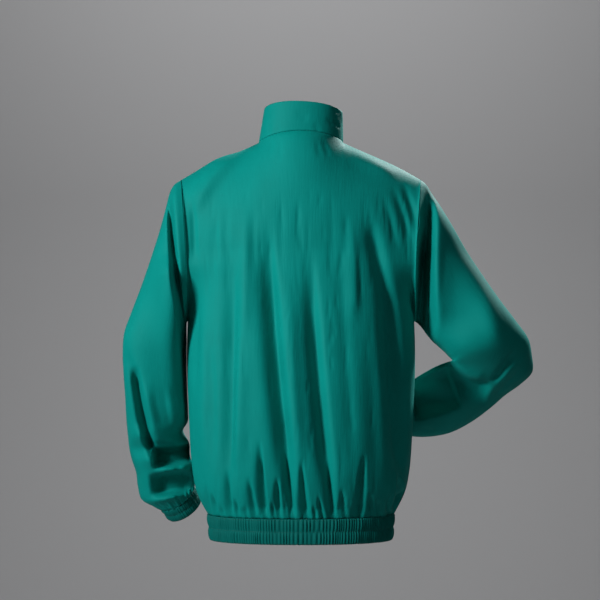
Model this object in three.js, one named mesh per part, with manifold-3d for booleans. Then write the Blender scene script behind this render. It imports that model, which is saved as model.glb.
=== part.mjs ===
// Windbreaker jacket in its worn form, built from its cut pieces.
// Millimetres, +Z up. The front faces -Y and the wearer's left is +X.
// The origin is the centre of the neck, level with the points where neck and shoulder seams meet.
import * as THREE from 'three';
import { mergeVertices } from 'three/addons/utils/BufferGeometryUtils.js';
import Module from 'manifold-3d';

const wasm = await Module();
wasm.setup();

// Cloth, seams and colours
const clothThickness = 1.6;
const collarThickness = 2.6;
const bandThickness = 2.2;
const tapeThickness = 1.3;
const seamGap = 0.3;
const clothColour = 0x00857c;
const tapeColour = 0x006a64;
const metalColour = 0xb9bcbe;
const pullColour = 0x2b2f30;
const clothRoughness = 0.55;
const bandRoughness = 0.6;
const tapeRoughness = 0.8;
const metalRoughness = 0.35;
const metalShare = 0.9;
const pullRoughness = 0.5;
const closeTo = 0.01;
const mergeReach = 1e-4;

// Neck seam, shoulder seams and armholes
const neckHalfWidth = 71;
const neckBackDepth = 62;
const neckFrontDepth = 82;
const neckBackRise = 17;
const neckFrontDrop = 48;
const neckBackPower = 2;
const neckFrontPower = 1.4;
const shoulderTipX = 200;
const shoulderTipZ = -62;
const shoulderCrown = 5;
const underarmX = 190;
const underarmZ = -300;
const armholeBackDepth = 78;
const armholeFrontDepth = 72;
const armholeBackInset = 5;
const armholeFrontInset = 13;
const chestBackDepth = 118;
const chestFrontDepth = 122;
const edgeSpread = 2;
const underarmSpread = 8;
const underarmStart = 0.55 * Math.PI;

// The smooth top of the shoulders, which the body's surface takes up below its seams
const shoulderSlope = 0.46;
const shoulderRound = 40;
const neckSpread = 66;
const neckBackSwell = 44;
const neckFrontSwell = 68;
const neckFrontSink = 52;

// Zip opening down the centre front
const zipHalfWidth = 9.5;
const zipSplit = 0.3;

// Hem band
const bandTopZ = -622.8;
const bandBottomZ = -665;

// Steps of the grids
const armholeSteps = 9;
const shoulderColumns = 12;
const neckColumns = 6;
const ringPower = 2.25;

// Rings of the body below the armholes, and the hem band's two edges
const bodyRings = [
  { z: -300, halfWidth: 190, back: 137, front: 139 },
  { z: -345, halfWidth: 191.5, back: 143, front: 145 },
  { z: -392, halfWidth: 191, back: 147, front: 148 },
  { z: -440, halfWidth: 189, back: 149, front: 150 },
  { z: -484, halfWidth: 187, back: 148, front: 149 },
  { z: -522, halfWidth: 185, back: 144, front: 145 },
  { z: -555, halfWidth: 181.5, back: 138, front: 138 },
  { z: -582, halfWidth: 176, back: 130, front: 129 },
  { z: -604, halfWidth: 167, back: 121, front: 119 },
  { z: -622.5, halfWidth: 157, back: 113, front: 111 },
];
const bandRings = {
  top: { halfWidth: 156, back: 112.5, front: 110.5 },
  bottom: { halfWidth: 152.5, back: 110, front: 108 },
};

// Hanging folds of the back: where each runs, how far it goes in (or out) and how wide it is
const backFolds = [
  { start: -170, topX: 122, middleX: 124, bottomX: 126, depth: -8, width: 17 },
  { start: -90, topX: 72, middleX: 52, bottomX: 18, depth: -13, width: 17 },
  { start: -170, topX: -2, middleX: -12, bottomX: -41, depth: -12, width: 16 },
  { start: -110, topX: -50, middleX: -68, bottomX: -78, depth: -7, width: 15 },
  { start: -130, topX: -98, middleX: -117, bottomX: -121, depth: -8, width: 15 },
  { start: -190, topX: -136, middleX: -153, bottomX: -161, depth: -11, width: 15 },
  { start: -200, topX: 157, middleX: 163, bottomX: 158, depth: 4, width: 15 },
  { start: -100, topX: 96, middleX: 100, bottomX: 108, depth: 4, width: 14 },
];

// Hanging folds of the fronts, the same kind as on the back, on the left (+X) and the right (-X)
const frontFolds = [
  { start: -150, topX: 60, middleX: 52, bottomX: 44, depth: -9, width: 15 },
  { start: -190, topX: 104, middleX: 98, bottomX: 92, depth: -10, width: 16 },
  { start: -240, topX: 148, middleX: 146, bottomX: 138, depth: -8, width: 15 },
  { start: -170, topX: -48, middleX: -56, bottomX: -64, depth: -9, width: 15 },
  { start: -140, topX: -92, middleX: -104, bottomX: -110, depth: -10, width: 16 },
  { start: -260, topX: -146, middleX: -150, bottomX: -148, depth: -7, width: 14 },
];
const foldRise = 230;
const foldEndRise = 30;
const zipEaseStart = 3;
const zipEaseEnd = 28;

// Gathers of the body above the hem band, one to every two columns
const gatherDepth = 3.4;
const gatherAtSeam = 0.8;
const gatherTopZ = -530;
const gatherFullZ = -598;
const gatherRagged = 12;
const gatherAtSide = 0.4;
const gatherEven = 0.7;
const gatherUneven = 0.3;
const gatherBeat = 1.9;
const raggedBeat = 2.7;
const sideEaseStart = 0.9;

// Collar: lean and size of its top edge
const collarTop = {
  halfWidth: 66, back: 55, front: 66, backZ: 66, sideZ: 51, frontZ: 14, lean: 0.05, shiftX: -4, power: 1.2,
};
const collarSwell = 1.5;
const collarShiftReach = 40;
const collarRows = 4;

// Gathers of the hem band and the cuffs
const bandGathers = 100;
const bandGatherHeight = 1.7;
const bandRows = [
  { along: 0, gather: 0.5, out: 0 },
  { along: 0.25, gather: 1, out: 0.9 },
  { along: 0.5, gather: 0.35, out: -0.1 },
  { along: 0.75, gather: 1, out: 0.9 },
  { along: 1, gather: 0.6, out: 0 },
];
const cuffGathers = 30;
const cuffGatherHeight = 1.6;
const cuffRows = [
  { along: 0, gather: 0.5, out: 0 },
  { along: 0.35, gather: 1, out: 0.8 },
  { along: 0.7, gather: 0.9, out: 0.6 },
  { along: 1, gather: 0.5, out: 0 },
];
const cuffRadius = 33;
const cuffLength = 26;
const wristFlare = 2;
const wristRipple = 1.5;
const wristInset = 1;
const wristBeat = 2.1;

// Rings of the left sleeve, from the armhole to the cuff: the outer and inner points seen from
// behind, how far the ring lies back, its depth to the back and to the front, its turn, and how
// far its inner side sinks to the front, where it lies beside the body
const leftSleeveRings = [
  { outerX: 212, outerZ: -70, innerX: 192, innerZ: -302, y: 2, back: 79, front: 72, turn: 0, sink: 0 },
  { outerX: 220, outerZ: -84, innerX: 192.5, innerZ: -306, y: 4, back: 66, front: 73, turn: 0, sink: 6 },
  { outerX: 226, outerZ: -108, innerX: 193, innerZ: -313, y: 7, back: 68, front: 75, turn: 0, sink: 14 },
  { outerX: 237, outerZ: -149, innerX: 193, innerZ: -323, y: 9, back: 68, front: 75, turn: 0, sink: 22 },
  { outerX: 251, outerZ: -193, innerX: 193, innerZ: -336, y: 11, back: 63, front: 74, turn: 0, sink: 30 },
  { outerX: 266, outerZ: -237, innerX: 193.5, innerZ: -352, y: 12, back: 58, front: 73, turn: 0, sink: 36 },
  { outerX: 283, outerZ: -282, innerX: 193.5, innerZ: -370, y: 12, back: 55, front: 72, turn: 0, sink: 40 },
  { outerX: 296, outerZ: -318, innerX: 193.5, innerZ: -388, y: 10, back: 54, front: 71, turn: 0, sink: 40 },
  { outerX: 299, outerZ: -352, innerX: 193, innerZ: -407, y: 6, back: 54, front: 70, turn: 0, sink: 40 },
  { outerX: 298, outerZ: -389, innerX: 192.5, innerZ: -428, y: 0, back: 56, front: 68, turn: 0, sink: 36 },
  { outerX: 296, outerZ: -426, innerX: 191.5, innerZ: -449, y: -10, back: 59, front: 65, turn: 0, sink: 26 },
  { outerX: 295, outerZ: -462, innerX: 192, innerZ: -470, y: -22, back: 58, front: 62, turn: 0, sink: 20 },
  { outerX: 293, outerZ: -492, innerX: 200, innerZ: -486, y: -33, back: 60, front: 60, turn: 0, sink: 8 },
  { outerX: 291, outerZ: -516, innerX: 190, innerZ: -506, y: -40, back: 42, front: 52, turn: 0, sink: 0 },
  { outerX: 287, outerZ: -536, innerX: 189, innerZ: -527, y: -46, back: 58, front: 58, turn: 4, sink: 0 },
  { outerX: 280, outerZ: -558, innerX: 184, innerZ: -545, y: -51, back: 60, front: 58, turn: 8, sink: 0 },
  { outerX: 277, outerZ: -581, innerX: 181, innerZ: -561, y: -55, back: 56, front: 54, turn: 12, sink: 0 },
  { outerX: 269, outerZ: -606, innerX: 182, innerZ: -574, y: -58, back: 48, front: 46, turn: 14, sink: 0 },
];
const leftCuff = { x: 212, y: -62, z: -600, alongX: -0.5, alongY: -0.42, alongZ: -0.757 };

// Rings of the right sleeve, in the same form, with X measured towards the wearer's right
const rightSleeveRings = [
  { outerX: 210, outerZ: -70, innerX: 196, innerZ: -303, y: 0, back: 50, front: 72, turn: 0 },
  { outerX: 219, outerZ: -85, innerX: 203, innerZ: -311, y: 3, back: 60, front: 72, turn: 0 },
  { outerX: 231, outerZ: -103, innerX: 210, innerZ: -321, y: 6, back: 84, front: 73, turn: 0 },
  { outerX: 252, outerZ: -137, innerX: 220, innerZ: -333, y: 8, back: 87, front: 74, turn: 0 },
  { outerX: 277, outerZ: -181, innerX: 230, innerZ: -342, y: 8, back: 87, front: 75, turn: 0 },
  { outerX: 304, outerZ: -222, innerX: 239, innerZ: -350, y: 8, back: 85, front: 75, turn: 0 },
  { outerX: 332, outerZ: -262, innerX: 246, innerZ: -357, y: 8, back: 81, front: 73, turn: 0 },
  { outerX: 359, outerZ: -297, innerX: 251, innerZ: -362, y: 6, back: 76, front: 71, turn: 2 },
  { outerX: 381, outerZ: -328, innerX: 254, innerZ: -365, y: 2, back: 71, front: 68, turn: 8 },
  { outerX: 387, outerZ: -358, innerX: 255, innerZ: -366, y: -5, back: 66, front: 66, turn: 16 },
  { outerX: 386, outerZ: -386, innerX: 254, innerZ: -367, y: -15, back: 60, front: 63, turn: 25 },
  { outerX: 365, outerZ: -408, innerX: 250, innerZ: -369, y: -29, back: 56, front: 60, turn: 32 },
  { outerX: 338, outerZ: -428, innerX: 242, innerZ: -373, y: -46, back: 53, front: 57, turn: 38 },
  { outerX: 311, outerZ: -453, innerX: 231, innerZ: -379, y: -65, back: 50, front: 54, turn: 42 },
  { outerX: 282, outerZ: -476, innerX: 217, innerZ: -388, y: -86, back: 47, front: 52, turn: 44 },
  { outerX: 250, outerZ: -494, innerX: 203, innerZ: -398, y: -107, back: 45, front: 50, turn: 45 },
  { outerX: 216, outerZ: -501, innerX: 190, innerZ: -407, y: -127, back: 44, front: 48, turn: 45 },
  { outerX: 187, outerZ: -500, innerX: 173, innerZ: -415, y: -146, back: 42, front: 45, turn: 45 },
  { outerX: 164, outerZ: -497, innerX: 156, innerZ: -426, y: -162, back: 38, front: 40, turn: 45 },
];
const sleevePower = 0.92;
const rightCuff = { x: 140, y: -181, z: -462, alongX: -0.68, alongY: -0.66, alongZ: -0.32 };

// Zip slider and its pull tab, in the slider's own frame: x across, -y out of the jacket, z up
const sliderBelowTop = 9;
const sliderOff = 0.5;
const sliderPlate = {
  topHalf: 4.2, bottomHalf: 3.1, halfHeight: 5.2, waistZ: 1.5, chamfer: 0.8, thickness: 2.4,
};
const sliderArch = { halfWidth: 1, halfHeight: 3.3, bar: 1, reach: 3.7, root: 0.6, corner: 0.6 };
const pullTab = {
  halfWidth: 3, length: 30, thickness: 1.2, window: 1.75, windowEnd: 5.9, tip: 1.4, gap: 0.4,
};

// Powers of sine and cosine keep their sign, and turn an ellipse into a fuller, squarer ring.
function signedPower(value, power) {
  return Math.sign(value) * Math.abs(value) ** power;
}

// The depth of a full ring at a fraction of its half width.
function ringDepth(across) {
  return Math.max(0, 1 - Math.abs(across) ** ringPower) ** (1 / ringPower);
}

function mix(first, second, share) {
  return first + (second - first) * share;
}

function smoothStep(from, to, value) {
  const share = Math.min(1, Math.max(0, (value - from) / (to - from)));
  return share * share * (3 - 2 * share);
}

// The columns of half a panel, from the side to the centre. Each has its fraction of the half
// width at the top line and lower down, and its angle round the neck where it meets the collar.
function bodyColumns(neckEdgeX) {
  const neckShare = neckHalfWidth / shoulderTipX;
  const neckAngle = Math.acos(neckShare ** (ringPower / 2));
  const lastAngle = Math.acos((neckEdgeX / neckHalfWidth) ** (ringPower / 2));
  const columns = [];
  for (let step = 0; step < shoulderColumns; step += 1) {
    const angle = (neckAngle * step) / shoulderColumns;
    const across = Math.cos(angle) ** (2 / ringPower);
    columns.push({ across, low: across, neck: 0, onNeck: false, atZip: false });
  }
  for (let step = 0; step <= neckColumns; step += 1) {
    const angle = (lastAngle * step) / neckColumns;
    const across = neckShare * Math.cos(angle) ** (2 / ringPower);
    const low = mix(neckShare, neckEdgeX / shoulderTipX, step / neckColumns);
    columns.push({ across, low, neck: angle, onNeck: true, atZip: false });
  }
  columns[columns.length - 1].atZip = neckEdgeX > 0;
  return columns;
}

// The neck seam: a ring that rises to the back and drops to the front.
function neckPoint(across, facing) {
  const x = across * shoulderTipX;
  const around = ringDepth(x / neckHalfWidth);
  const y = facing > 0 ? around * neckBackDepth : -around * neckFrontDepth;
  const z = facing > 0
    ? neckBackRise * around ** neckBackPower
    : -neckFrontDrop * around ** neckFrontPower;
  return new THREE.Vector3(x, y, z);
}

// The top line of a panel: the shoulder seam from the tip to the neck, then the neck seam.
function topPoint(column, facing) {
  if (column.onNeck) {
    return neckPoint(column.across, facing);
  }
  const x = column.across * shoulderTipX;
  const share = (x - neckHalfWidth) / (shoulderTipX - neckHalfWidth);
  const z = shoulderTipZ * share + shoulderCrown * Math.sin(Math.PI * share) * share;
  return new THREE.Vector3(x, 0, z);
}

// The armhole: a tall loop from the shoulder tip (0 degrees) to the underarm (180 degrees).
function armholePoint(angle, facing) {
  const middleX = (shoulderTipX + underarmX) / 2;
  const middleZ = (shoulderTipZ + underarmZ) / 2;
  const inset = facing > 0 ? armholeBackInset : armholeFrontInset;
  const depth = facing > 0 ? armholeBackDepth : -armholeFrontDepth;
  const x = middleX + ((shoulderTipX - underarmX) / 2) * Math.cos(angle) - inset * Math.sin(angle) ** 2;
  const z = middleZ + ((shoulderTipZ - underarmZ) / 2) * Math.cos(angle);
  return new THREE.Vector3(x, depth * Math.sin(angle), z);
}

// The smooth top of the body, which has no corner where the shoulder seam meets the neck.
function smoothTop(across, facing) {
  const x = across * shoulderTipX;
  const tipReach = Math.hypot(shoulderTipX, shoulderRound);
  const nearNeck = Math.exp(-((x / neckSpread) ** 2));
  const y = nearNeck * (facing > 0 ? neckBackSwell : -neckFrontSwell);
  const sink = facing > 0 ? 0 : neckFrontSink * nearNeck;
  const z = shoulderTipZ + shoulderSlope * (tipReach - Math.hypot(x, shoulderRound)) - sink;
  return new THREE.Vector3(x, y, z);
}

// The depth across a row: the ring of the body, with the armhole's edge where the row ends. The
// edge's share of the row narrows towards the underarm.
function rowDepth(across, edgeY, centreY, angle) {
  const full = ringDepth(across);
  const spread = edgeSpread + underarmSpread * smoothStep(underarmStart, Math.PI, angle);
  return centreY * full + edgeY * (1 - full) ** spread;
}

// A point of the upper body, on the row that meets the armhole at this angle. Above the chest
// it leaves the seams and takes up the smooth top; below the chest it takes up the first ring.
function upperPoint(column, angle, facing) {
  const edge = armholePoint(angle, facing);
  const centreAtChest = facing > 0 ? chestBackDepth : -chestFrontDepth;
  const firstRing = bodyRings[0];
  const centreAtUnderarm = facing > 0 ? firstRing.back : -firstRing.front;
  if (angle > Math.PI / 2) {
    const centre = mix(centreAtChest, centreAtUnderarm, -Math.cos(angle));
    const y = rowDepth(column.low, edge.y, centre, angle);
    return new THREE.Vector3(column.low * edge.x, y, edge.z);
  }
  const chest = armholePoint(Math.PI / 2, facing);
  const top = topPoint(column, facing);
  const out = Math.sin(angle);
  const down = 1 - Math.cos(angle);
  const across = mix(column.across, column.low, out);
  const smooth = smoothTop(across, facing);
  const chestY = rowDepth(across, chest.y, centreAtChest, angle);
  const nearSeam = (1 - out) ** 2;
  return new THREE.Vector3(
    across * edge.x,
    mix(smooth.y, chestY, out) + (top.y - smooth.y) * nearSeam,
    mix(smooth.z, chest.z, down) + (top.z - smooth.z) * nearSeam,
  );
}

// A point of the lower body on one of its rings.
function lowerPoint(column, ring, facing) {
  const depth = facing > 0 ? ring.back : -ring.front;
  return new THREE.Vector3(column.low * ring.halfWidth, depth * ringDepth(column.low), ring.z);
}

// The sum of the hanging folds at a place on the body: each is a soft trough or ridge along a
// bent path, which grows from its start downwards.
function hangingFold(folds, x, z) {
  const bottomZ = bodyRings[bodyRings.length - 1].z;
  let sum = 0;
  for (const fold of folds) {
    const share = Math.min(1, Math.max(0, (z - fold.start) / (bottomZ - fold.start)));
    const bend = 4 * fold.middleX - 2 * fold.topX - 2 * fold.bottomX;
    const path = mix(fold.topX, fold.bottomX, share) + (bend / 2) * share * (1 - share);
    const growth = smoothStep(fold.start, fold.start - foldRise, z);
    const ending = 1 - smoothStep(gatherFullZ + foldEndRise, bottomZ, z);
    sum += fold.depth * growth * ending * Math.exp(-(((x - path) / fold.width) ** 2));
  }
  return sum;
}

// The gathers above the hem band: every other column goes out and in, unevenly.
function gather(columnNumber, z) {
  const bottomZ = bodyRings[bodyRings.length - 1].z;
  const sign = columnNumber % 2 === 0 ? 1 : -1;
  const uneven = gatherEven + gatherUneven * Math.sin(columnNumber * gatherBeat);
  const startZ = gatherTopZ + gatherRagged * Math.sin(columnNumber * raggedBeat);
  const reach = smoothStep(startZ, gatherFullZ, z);
  const depth = mix(gatherDepth, gatherAtSeam, smoothStep(gatherFullZ, bottomZ, z));
  return sign * uneven * reach * depth;
}

// Surface normals of a grid of points, from the neighbours along rows and columns.
function gridNormals(grid, closed) {
  const rowCount = grid.length;
  const columnCount = grid[0].length;
  return grid.map((row, rowNumber) => row.map((point, columnNumber) => {
    const above = grid[Math.max(0, rowNumber - 1)][columnNumber];
    const below = grid[Math.min(rowCount - 1, rowNumber + 1)][columnNumber];
    const before = closed
      ? row[(columnNumber + columnCount - 1) % columnCount]
      : row[Math.max(0, columnNumber - 1)];
    const after = closed
      ? row[(columnNumber + 1) % columnCount]
      : row[Math.min(columnCount - 1, columnNumber + 1)];
    const along = new THREE.Vector3().subVectors(below, above);
    const across = new THREE.Vector3().subVectors(after, before);
    return across.cross(along).normalize();
  }));
}

// A wall between an outer and an inner grid, closed round its edges, with its faces outwards.
function wallMesh(name, outer, inner, closed, colour, roughness) {
  const rowCount = outer.length;
  const columnCount = outer[0].length;
  const points = [...outer.flat(), ...inner.flat()];
  const innerStart = rowCount * columnCount;
  const spans = closed ? columnCount : columnCount - 1;
  const faces = [];
  const addQuad = (first, second, third, fourth) => {
    faces.push(first, second, third, first, third, fourth);
  };
  for (let span = 0; span < spans; span += 1) {
    const next = (span + 1) % columnCount;
    for (let row = 0; row < rowCount - 1; row += 1) {
      const here = row * columnCount;
      const below = here + columnCount;
      addQuad(here + span, here + next, below + next, below + span);
      addQuad(innerStart + here + next, innerStart + here + span,
        innerStart + below + span, innerStart + below + next);
    }
    const last = (rowCount - 1) * columnCount;
    addQuad(innerStart + span, innerStart + next, next, span);
    addQuad(last + span, last + next, innerStart + last + next, innerStart + last + span);
  }
  if (!closed) {
    const end = columnCount - 1;
    for (let row = 0; row < rowCount - 1; row += 1) {
      const here = row * columnCount;
      const below = here + columnCount;
      addQuad(here, below, innerStart + below, innerStart + here);
      addQuad(below + end, here + end, innerStart + here + end, innerStart + below + end);
    }
  }
  return meshFrom(name, points, facesOutwards(points, faces), colour, roughness, 0);
}

// The faces in the order that gives the closed body a positive volume.
function facesOutwards(points, faces) {
  let volume = 0;
  for (let face = 0; face < faces.length; face += 3) {
    const [first, second, third] = [points[faces[face]], points[faces[face + 1]], points[faces[face + 2]]];
    volume += first.dot(new THREE.Vector3().crossVectors(second, third));
  }
  return volume > 0 ? faces : faces.slice().reverse();
}

function meshFrom(name, points, faces, colour, roughness, metalness) {
  const geometry = new THREE.BufferGeometry();
  const positions = points.flatMap((point) => [point.x, point.y, point.z]);
  geometry.setAttribute('position', new THREE.Float32BufferAttribute(positions, 3));
  geometry.setIndex(faces);
  geometry.computeVertexNormals();
  const material = new THREE.MeshStandardMaterial({ color: colour, roughness, metalness });
  const mesh = new THREE.Mesh(geometry, material);
  mesh.name = name;
  return mesh;
}

// Points moved along their normals by a distance.
function movedAlong(grid, normals, distance) {
  return grid.map((row, rowNumber) => row.map((point, columnNumber) => (
    point.clone().addScaledVector(normals[rowNumber][columnNumber], distance)
  )));
}

// Normals that have no part along one axis, for the edges where two walls meet.
function flattened(normal, axis) {
  const flat = normal.clone();
  flat[axis] = 0;
  return flat.normalize();
}

// A body panel: the back is whole, and each front ends beside the zip. The columns run from the
// left side (+X) to the right side, or to the zip.
function bodyPanel(facing, columns, sides) {
  const angles = Array.from({ length: armholeSteps + 1 }, (unused, step) => (Math.PI * step) / armholeSteps);
  const rows = [
    ...angles.map((angle) => columns.map((column) => upperPoint(column, angle, facing))),
    ...bodyRings.slice(1).map((ring) => columns.map((column) => lowerPoint(column, ring, facing))),
  ];
  for (const row of rows) {
    row.forEach((point, number) => {
      point.x = sides[number] * (columns[number].atZip ? zipHalfWidth : point.x);
    });
  }
  return rows;
}

// The panel's outward normals: level across the side and shoulder seams, so that two panels
// meet edge to edge there.
function panelNormals(grid, facing, columns) {
  const normals = gridNormals(grid, false);
  const towards = normals[armholeSteps][Math.floor(columns.length / 2)].y * facing < 0 ? -1 : 1;
  return normals.map((row, rowNumber) => row.map((normal, number) => {
    normal.multiplyScalar(towards);
    const onShoulderSeam = rowNumber === 0 && columns[number].neck === 0;
    const onSideSeam = rowNumber >= armholeSteps && columns[number].across === 1;
    const leansBack = columns[number].across === 1 && normal.x * grid[rowNumber][number].x < 0;
    if (columns[number].atZip || leansBack) {
      return flattened(normal, 'x');
    }
    return onShoulderSeam || onSideSeam ? flattened(normal, 'y') : normal;
  }));
}

function panelMesh(name, facing, folds, columns, sides) {
  const smooth = bodyPanel(facing, columns, sides);
  const normals = panelNormals(smooth, facing, columns);
  const folded = smooth.map((row, rowNumber) => row.map((point, number) => {
    const fromZip = Math.abs(point.x) - zipHalfWidth;
    const zipEase = facing > 0 ? 1 : smoothStep(zipEaseStart, zipEaseEnd, fromZip);
    const sideEase = smoothStep(1, sideEaseStart, columns[number].across);
    const fold = hangingFold(folds, point.x, point.z) * sideEase;
    const gathers = rowNumber > armholeSteps ? gather(number, point.z) * mix(gatherAtSide, 1, sideEase) : 0;
    return point.clone().addScaledVector(normals[rowNumber][number], (fold + gathers) * zipEase);
  }));
  for (const [rowNumber, row] of folded.entries()) {
    row.forEach((point, number) => {
      const onShoulderSeam = rowNumber === 0 && columns[number].neck === 0;
      const onSideSeam = rowNumber >= armholeSteps && columns[number].across === 1;
      if (onShoulderSeam || onSideSeam) {
        point.y += (facing * seamGap) / 2;
      }
    });
  }
  const inner = movedAlong(folded, panelNormals(folded, facing, columns), -clothThickness);
  return wallMesh(name, folded, inner, false, clothColour, clothRoughness);
}

function backMesh() {
  const half = bodyColumns(0);
  const columns = [...half, ...half.slice(0, -1).reverse()];
  const sides = columns.map((column, number) => (number < half.length ? 1 : -1));
  return panelMesh('back', 1, backFolds, columns, sides);
}

function frontMesh(side) {
  const columns = bodyColumns(zipHalfWidth);
  const name = side > 0 ? 'front_left' : 'front_right';
  return panelMesh(name, -1, frontFolds, columns, columns.map(() => side));
}

// The last cross ring of a sleeve and its cuff: a round ring square to the wrist.
function cuffRing(cuff, side, distance, radius, count, wave) {
  const axis = new THREE.Vector3(cuff.alongX, cuff.alongY, cuff.alongZ).normalize();
  const centre = new THREE.Vector3(cuff.x, cuff.y, cuff.z).addScaledVector(axis, distance);
  const back = new THREE.Vector3(0, 1, 0).addScaledVector(axis, -axis.y).normalize();
  const outer = new THREE.Vector3().crossVectors(back, axis).normalize();
  if (outer.x < 0) {
    outer.negate();
  }
  return Array.from({ length: count }, (unused, number) => {
    const angle = (2 * Math.PI * number) / count;
    const reach = radius + wave(number);
    const point = centre.clone();
    point.addScaledVector(outer, reach * Math.cos(angle));
    point.addScaledVector(back, reach * Math.sin(angle));
    point.x *= side;
    return point;
  });
}

// One ring of a sleeve: an ellipse through its outer and inner points, turned with the arm.
function sleeveRing(ring, side, count) {
  const turn = THREE.MathUtils.degToRad(ring.turn);
  const middleX = (ring.outerX + ring.innerX) / 2;
  const middleZ = (ring.outerZ + ring.innerZ) / 2;
  const sink = ring.sink ?? 0;
  return Array.from({ length: count }, (unused, number) => {
    const angle = (2 * Math.PI * number) / count;
    const depth = Math.sin(angle) > 0 ? ring.back : ring.front;
    const out = signedPower(Math.sin(angle), sleevePower) * depth;
    const x = middleX + ((ring.outerX - ring.innerX) / 2) * Math.cos(angle) - out * Math.sin(turn);
    const y = ring.y + out * Math.cos(turn) - sink * ((1 - Math.cos(angle)) / 2) ** 2;
    const z = middleZ + ((ring.outerZ - ring.innerZ) / 2) * Math.cos(angle);
    return new THREE.Vector3(side * x, y, z);
  });
}

function sleeveMesh(name, side, rings, cuff) {
  const count = armholeSteps * 2;
  const armhole = Array.from({ length: count }, (unused, number) => {
    const angle = (Math.PI * number) / armholeSteps;
    const facing = angle > Math.PI ? -1 : 1;
    const point = armholePoint(facing > 0 ? angle : 2 * Math.PI - angle, facing);
    return new THREE.Vector3(side * (point.x + seamGap), point.y, point.z);
  });
  const flare = (number) => wristFlare + wristRipple * Math.sin(number * wristBeat);
  const grid = [
    armhole,
    ...rings.map((ring) => sleeveRing(ring, side, count)),
    cuffRing(cuff, side, -seamGap, cuffRadius - wristInset, count, flare),
  ];
  const normals = gridNormals(grid, true);
  const outwards = normals[armholeSteps][0].x * side > 0 ? 1 : -1;
  normals.forEach((row) => row.forEach((normal) => normal.multiplyScalar(outwards)));
  normals[0] = normals[0].map((normal) => flattened(normal, 'x'));
  const wrist = grid[grid.length - 1];
  const wristCentre = wrist.reduce((sum, point) => sum.add(point), new THREE.Vector3());
  wristCentre.divideScalar(count);
  normals[normals.length - 1] = wrist.map((point) => point.clone().sub(wristCentre).normalize());
  const inner = movedAlong(grid, normals, -clothThickness);
  return wallMesh(name, grid, inner, true, clothColour, clothRoughness);
}

function cuffMesh(name, side, cuff) {
  const count = cuffGathers * 2;
  const outer = cuffRows.map((row) => cuffRing(cuff, side, row.along * cuffLength, cuffRadius, count,
    (number) => row.out + (number % 2 === 0 ? row.gather * cuffGatherHeight : 0)));
  const inner = cuffRows.map((row) => cuffRing(cuff, side, row.along * cuffLength,
    cuffRadius - bandThickness, count, () => 0));
  return wallMesh(name, outer, inner, true, clothColour, bandRoughness);
}

// A point on a ring that is open at the zip: the share runs from the left edge round the back
// to the right edge.
function openRingPoint(ring, share, z) {
  const startX = zipHalfWidth / ring.halfWidth;
  const startAngle = Math.acos(startX ** (ringPower / 2));
  const angle = mix(-startAngle, Math.PI + startAngle, share);
  const cosine = signedPower(Math.cos(angle), 2 / ringPower);
  const sine = signedPower(Math.sin(angle), 2 / ringPower);
  const depth = sine > 0 ? ring.back : ring.front;
  return new THREE.Vector3(ring.halfWidth * cosine, depth * sine, z);
}

function hemBandMesh() {
  const count = bandGathers * 2 + 1;
  const bandGrid = (raise) => bandRows.map((row) => {
    const z = mix(bandTopZ, bandBottomZ, row.along);
    const ring = {
      halfWidth: mix(bandRings.top.halfWidth, bandRings.bottom.halfWidth, row.along),
      back: mix(bandRings.top.back, bandRings.bottom.back, row.along),
      front: mix(bandRings.top.front, bandRings.bottom.front, row.along),
    };
    return Array.from({ length: count }, (unused, number) => {
      const point = openRingPoint(ring, number / (count - 1), z);
      const outwards = new THREE.Vector3(point.x / ring.halfWidth ** 2, point.y / ring.back ** 2, 0);
      outwards.normalize();
      const atEdge = number === 0 || number === count - 1;
      if (atEdge) {
        outwards.set(0, -1, 0);
      }
      return point.addScaledVector(outwards, raise(row, number));
    });
  });
  const outer = bandGrid((row, number) => row.out + (number % 2 === 1 ? row.gather * bandGatherHeight : 0));
  const inner = bandGrid(() => -bandThickness);
  return wallMesh('hem_band', outer, inner, false, clothColour, bandRoughness);
}

// The collar: rows from the neck seam to the top edge, which leans forwards. The neck seam's
// own columns are used, so that it stands on the body's edge.
function collarGrid() {
  const backHalf = bodyColumns(0).filter((column) => column.onNeck);
  const frontHalf = bodyColumns(zipHalfWidth).filter((column) => column.onNeck);
  const places = [
    ...frontHalf.slice(1).reverse().map((column) => ({ column, facing: -1, side: 1 })),
    ...backHalf.map((column) => ({ column, facing: 1, side: 1 })),
    ...backHalf.slice(0, -1).reverse().map((column) => ({ column, facing: 1, side: -1 })),
    ...frontHalf.slice(1).map((column) => ({ column, facing: -1, side: -1 })),
  ];
  return Array.from({ length: collarRows + 1 }, (unused, row) => {
    const up = 1 - row / collarRows;
    return places.map(({ column, facing, side }) => collarPoint(column, facing, side, up));
  });
}

function collarPoint(column, facing, side, up) {
  const seam = neckPoint(column.across, facing);
  const around = ringDepth(seam.x / neckHalfWidth);
  const atZip = facing < 0 && seam.x <= zipHalfWidth + closeTo;
  const scaleX = atZip ? 1 : collarTop.halfWidth / neckHalfWidth;
  const shiftFrom = seam.x + (facing > 0 ? collarShiftReach : 0);
  const shift = atZip ? 0 : collarTop.shiftX * smoothStep(0, collarShiftReach, shiftFrom);
  const topX = side * seam.x * scaleX + shift;
  const topY = facing > 0 ? around * collarTop.back : -around * collarTop.front;
  const reach = facing > 0 ? collarTop.backZ : collarTop.frontZ;
  const lean = atZip ? 0 : collarTop.lean * side * seam.x;
  const topZ = mix(collarTop.sideZ, reach, around ** collarTop.power) + lean;
  const swell = collarSwell * Math.sin(Math.PI * up) * facing * around;
  return new THREE.Vector3(
    mix(side * seam.x, topX, up),
    mix(seam.y, topY, up) + swell,
    mix(seam.z + seamGap, topZ, up),
  );
}

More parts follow.
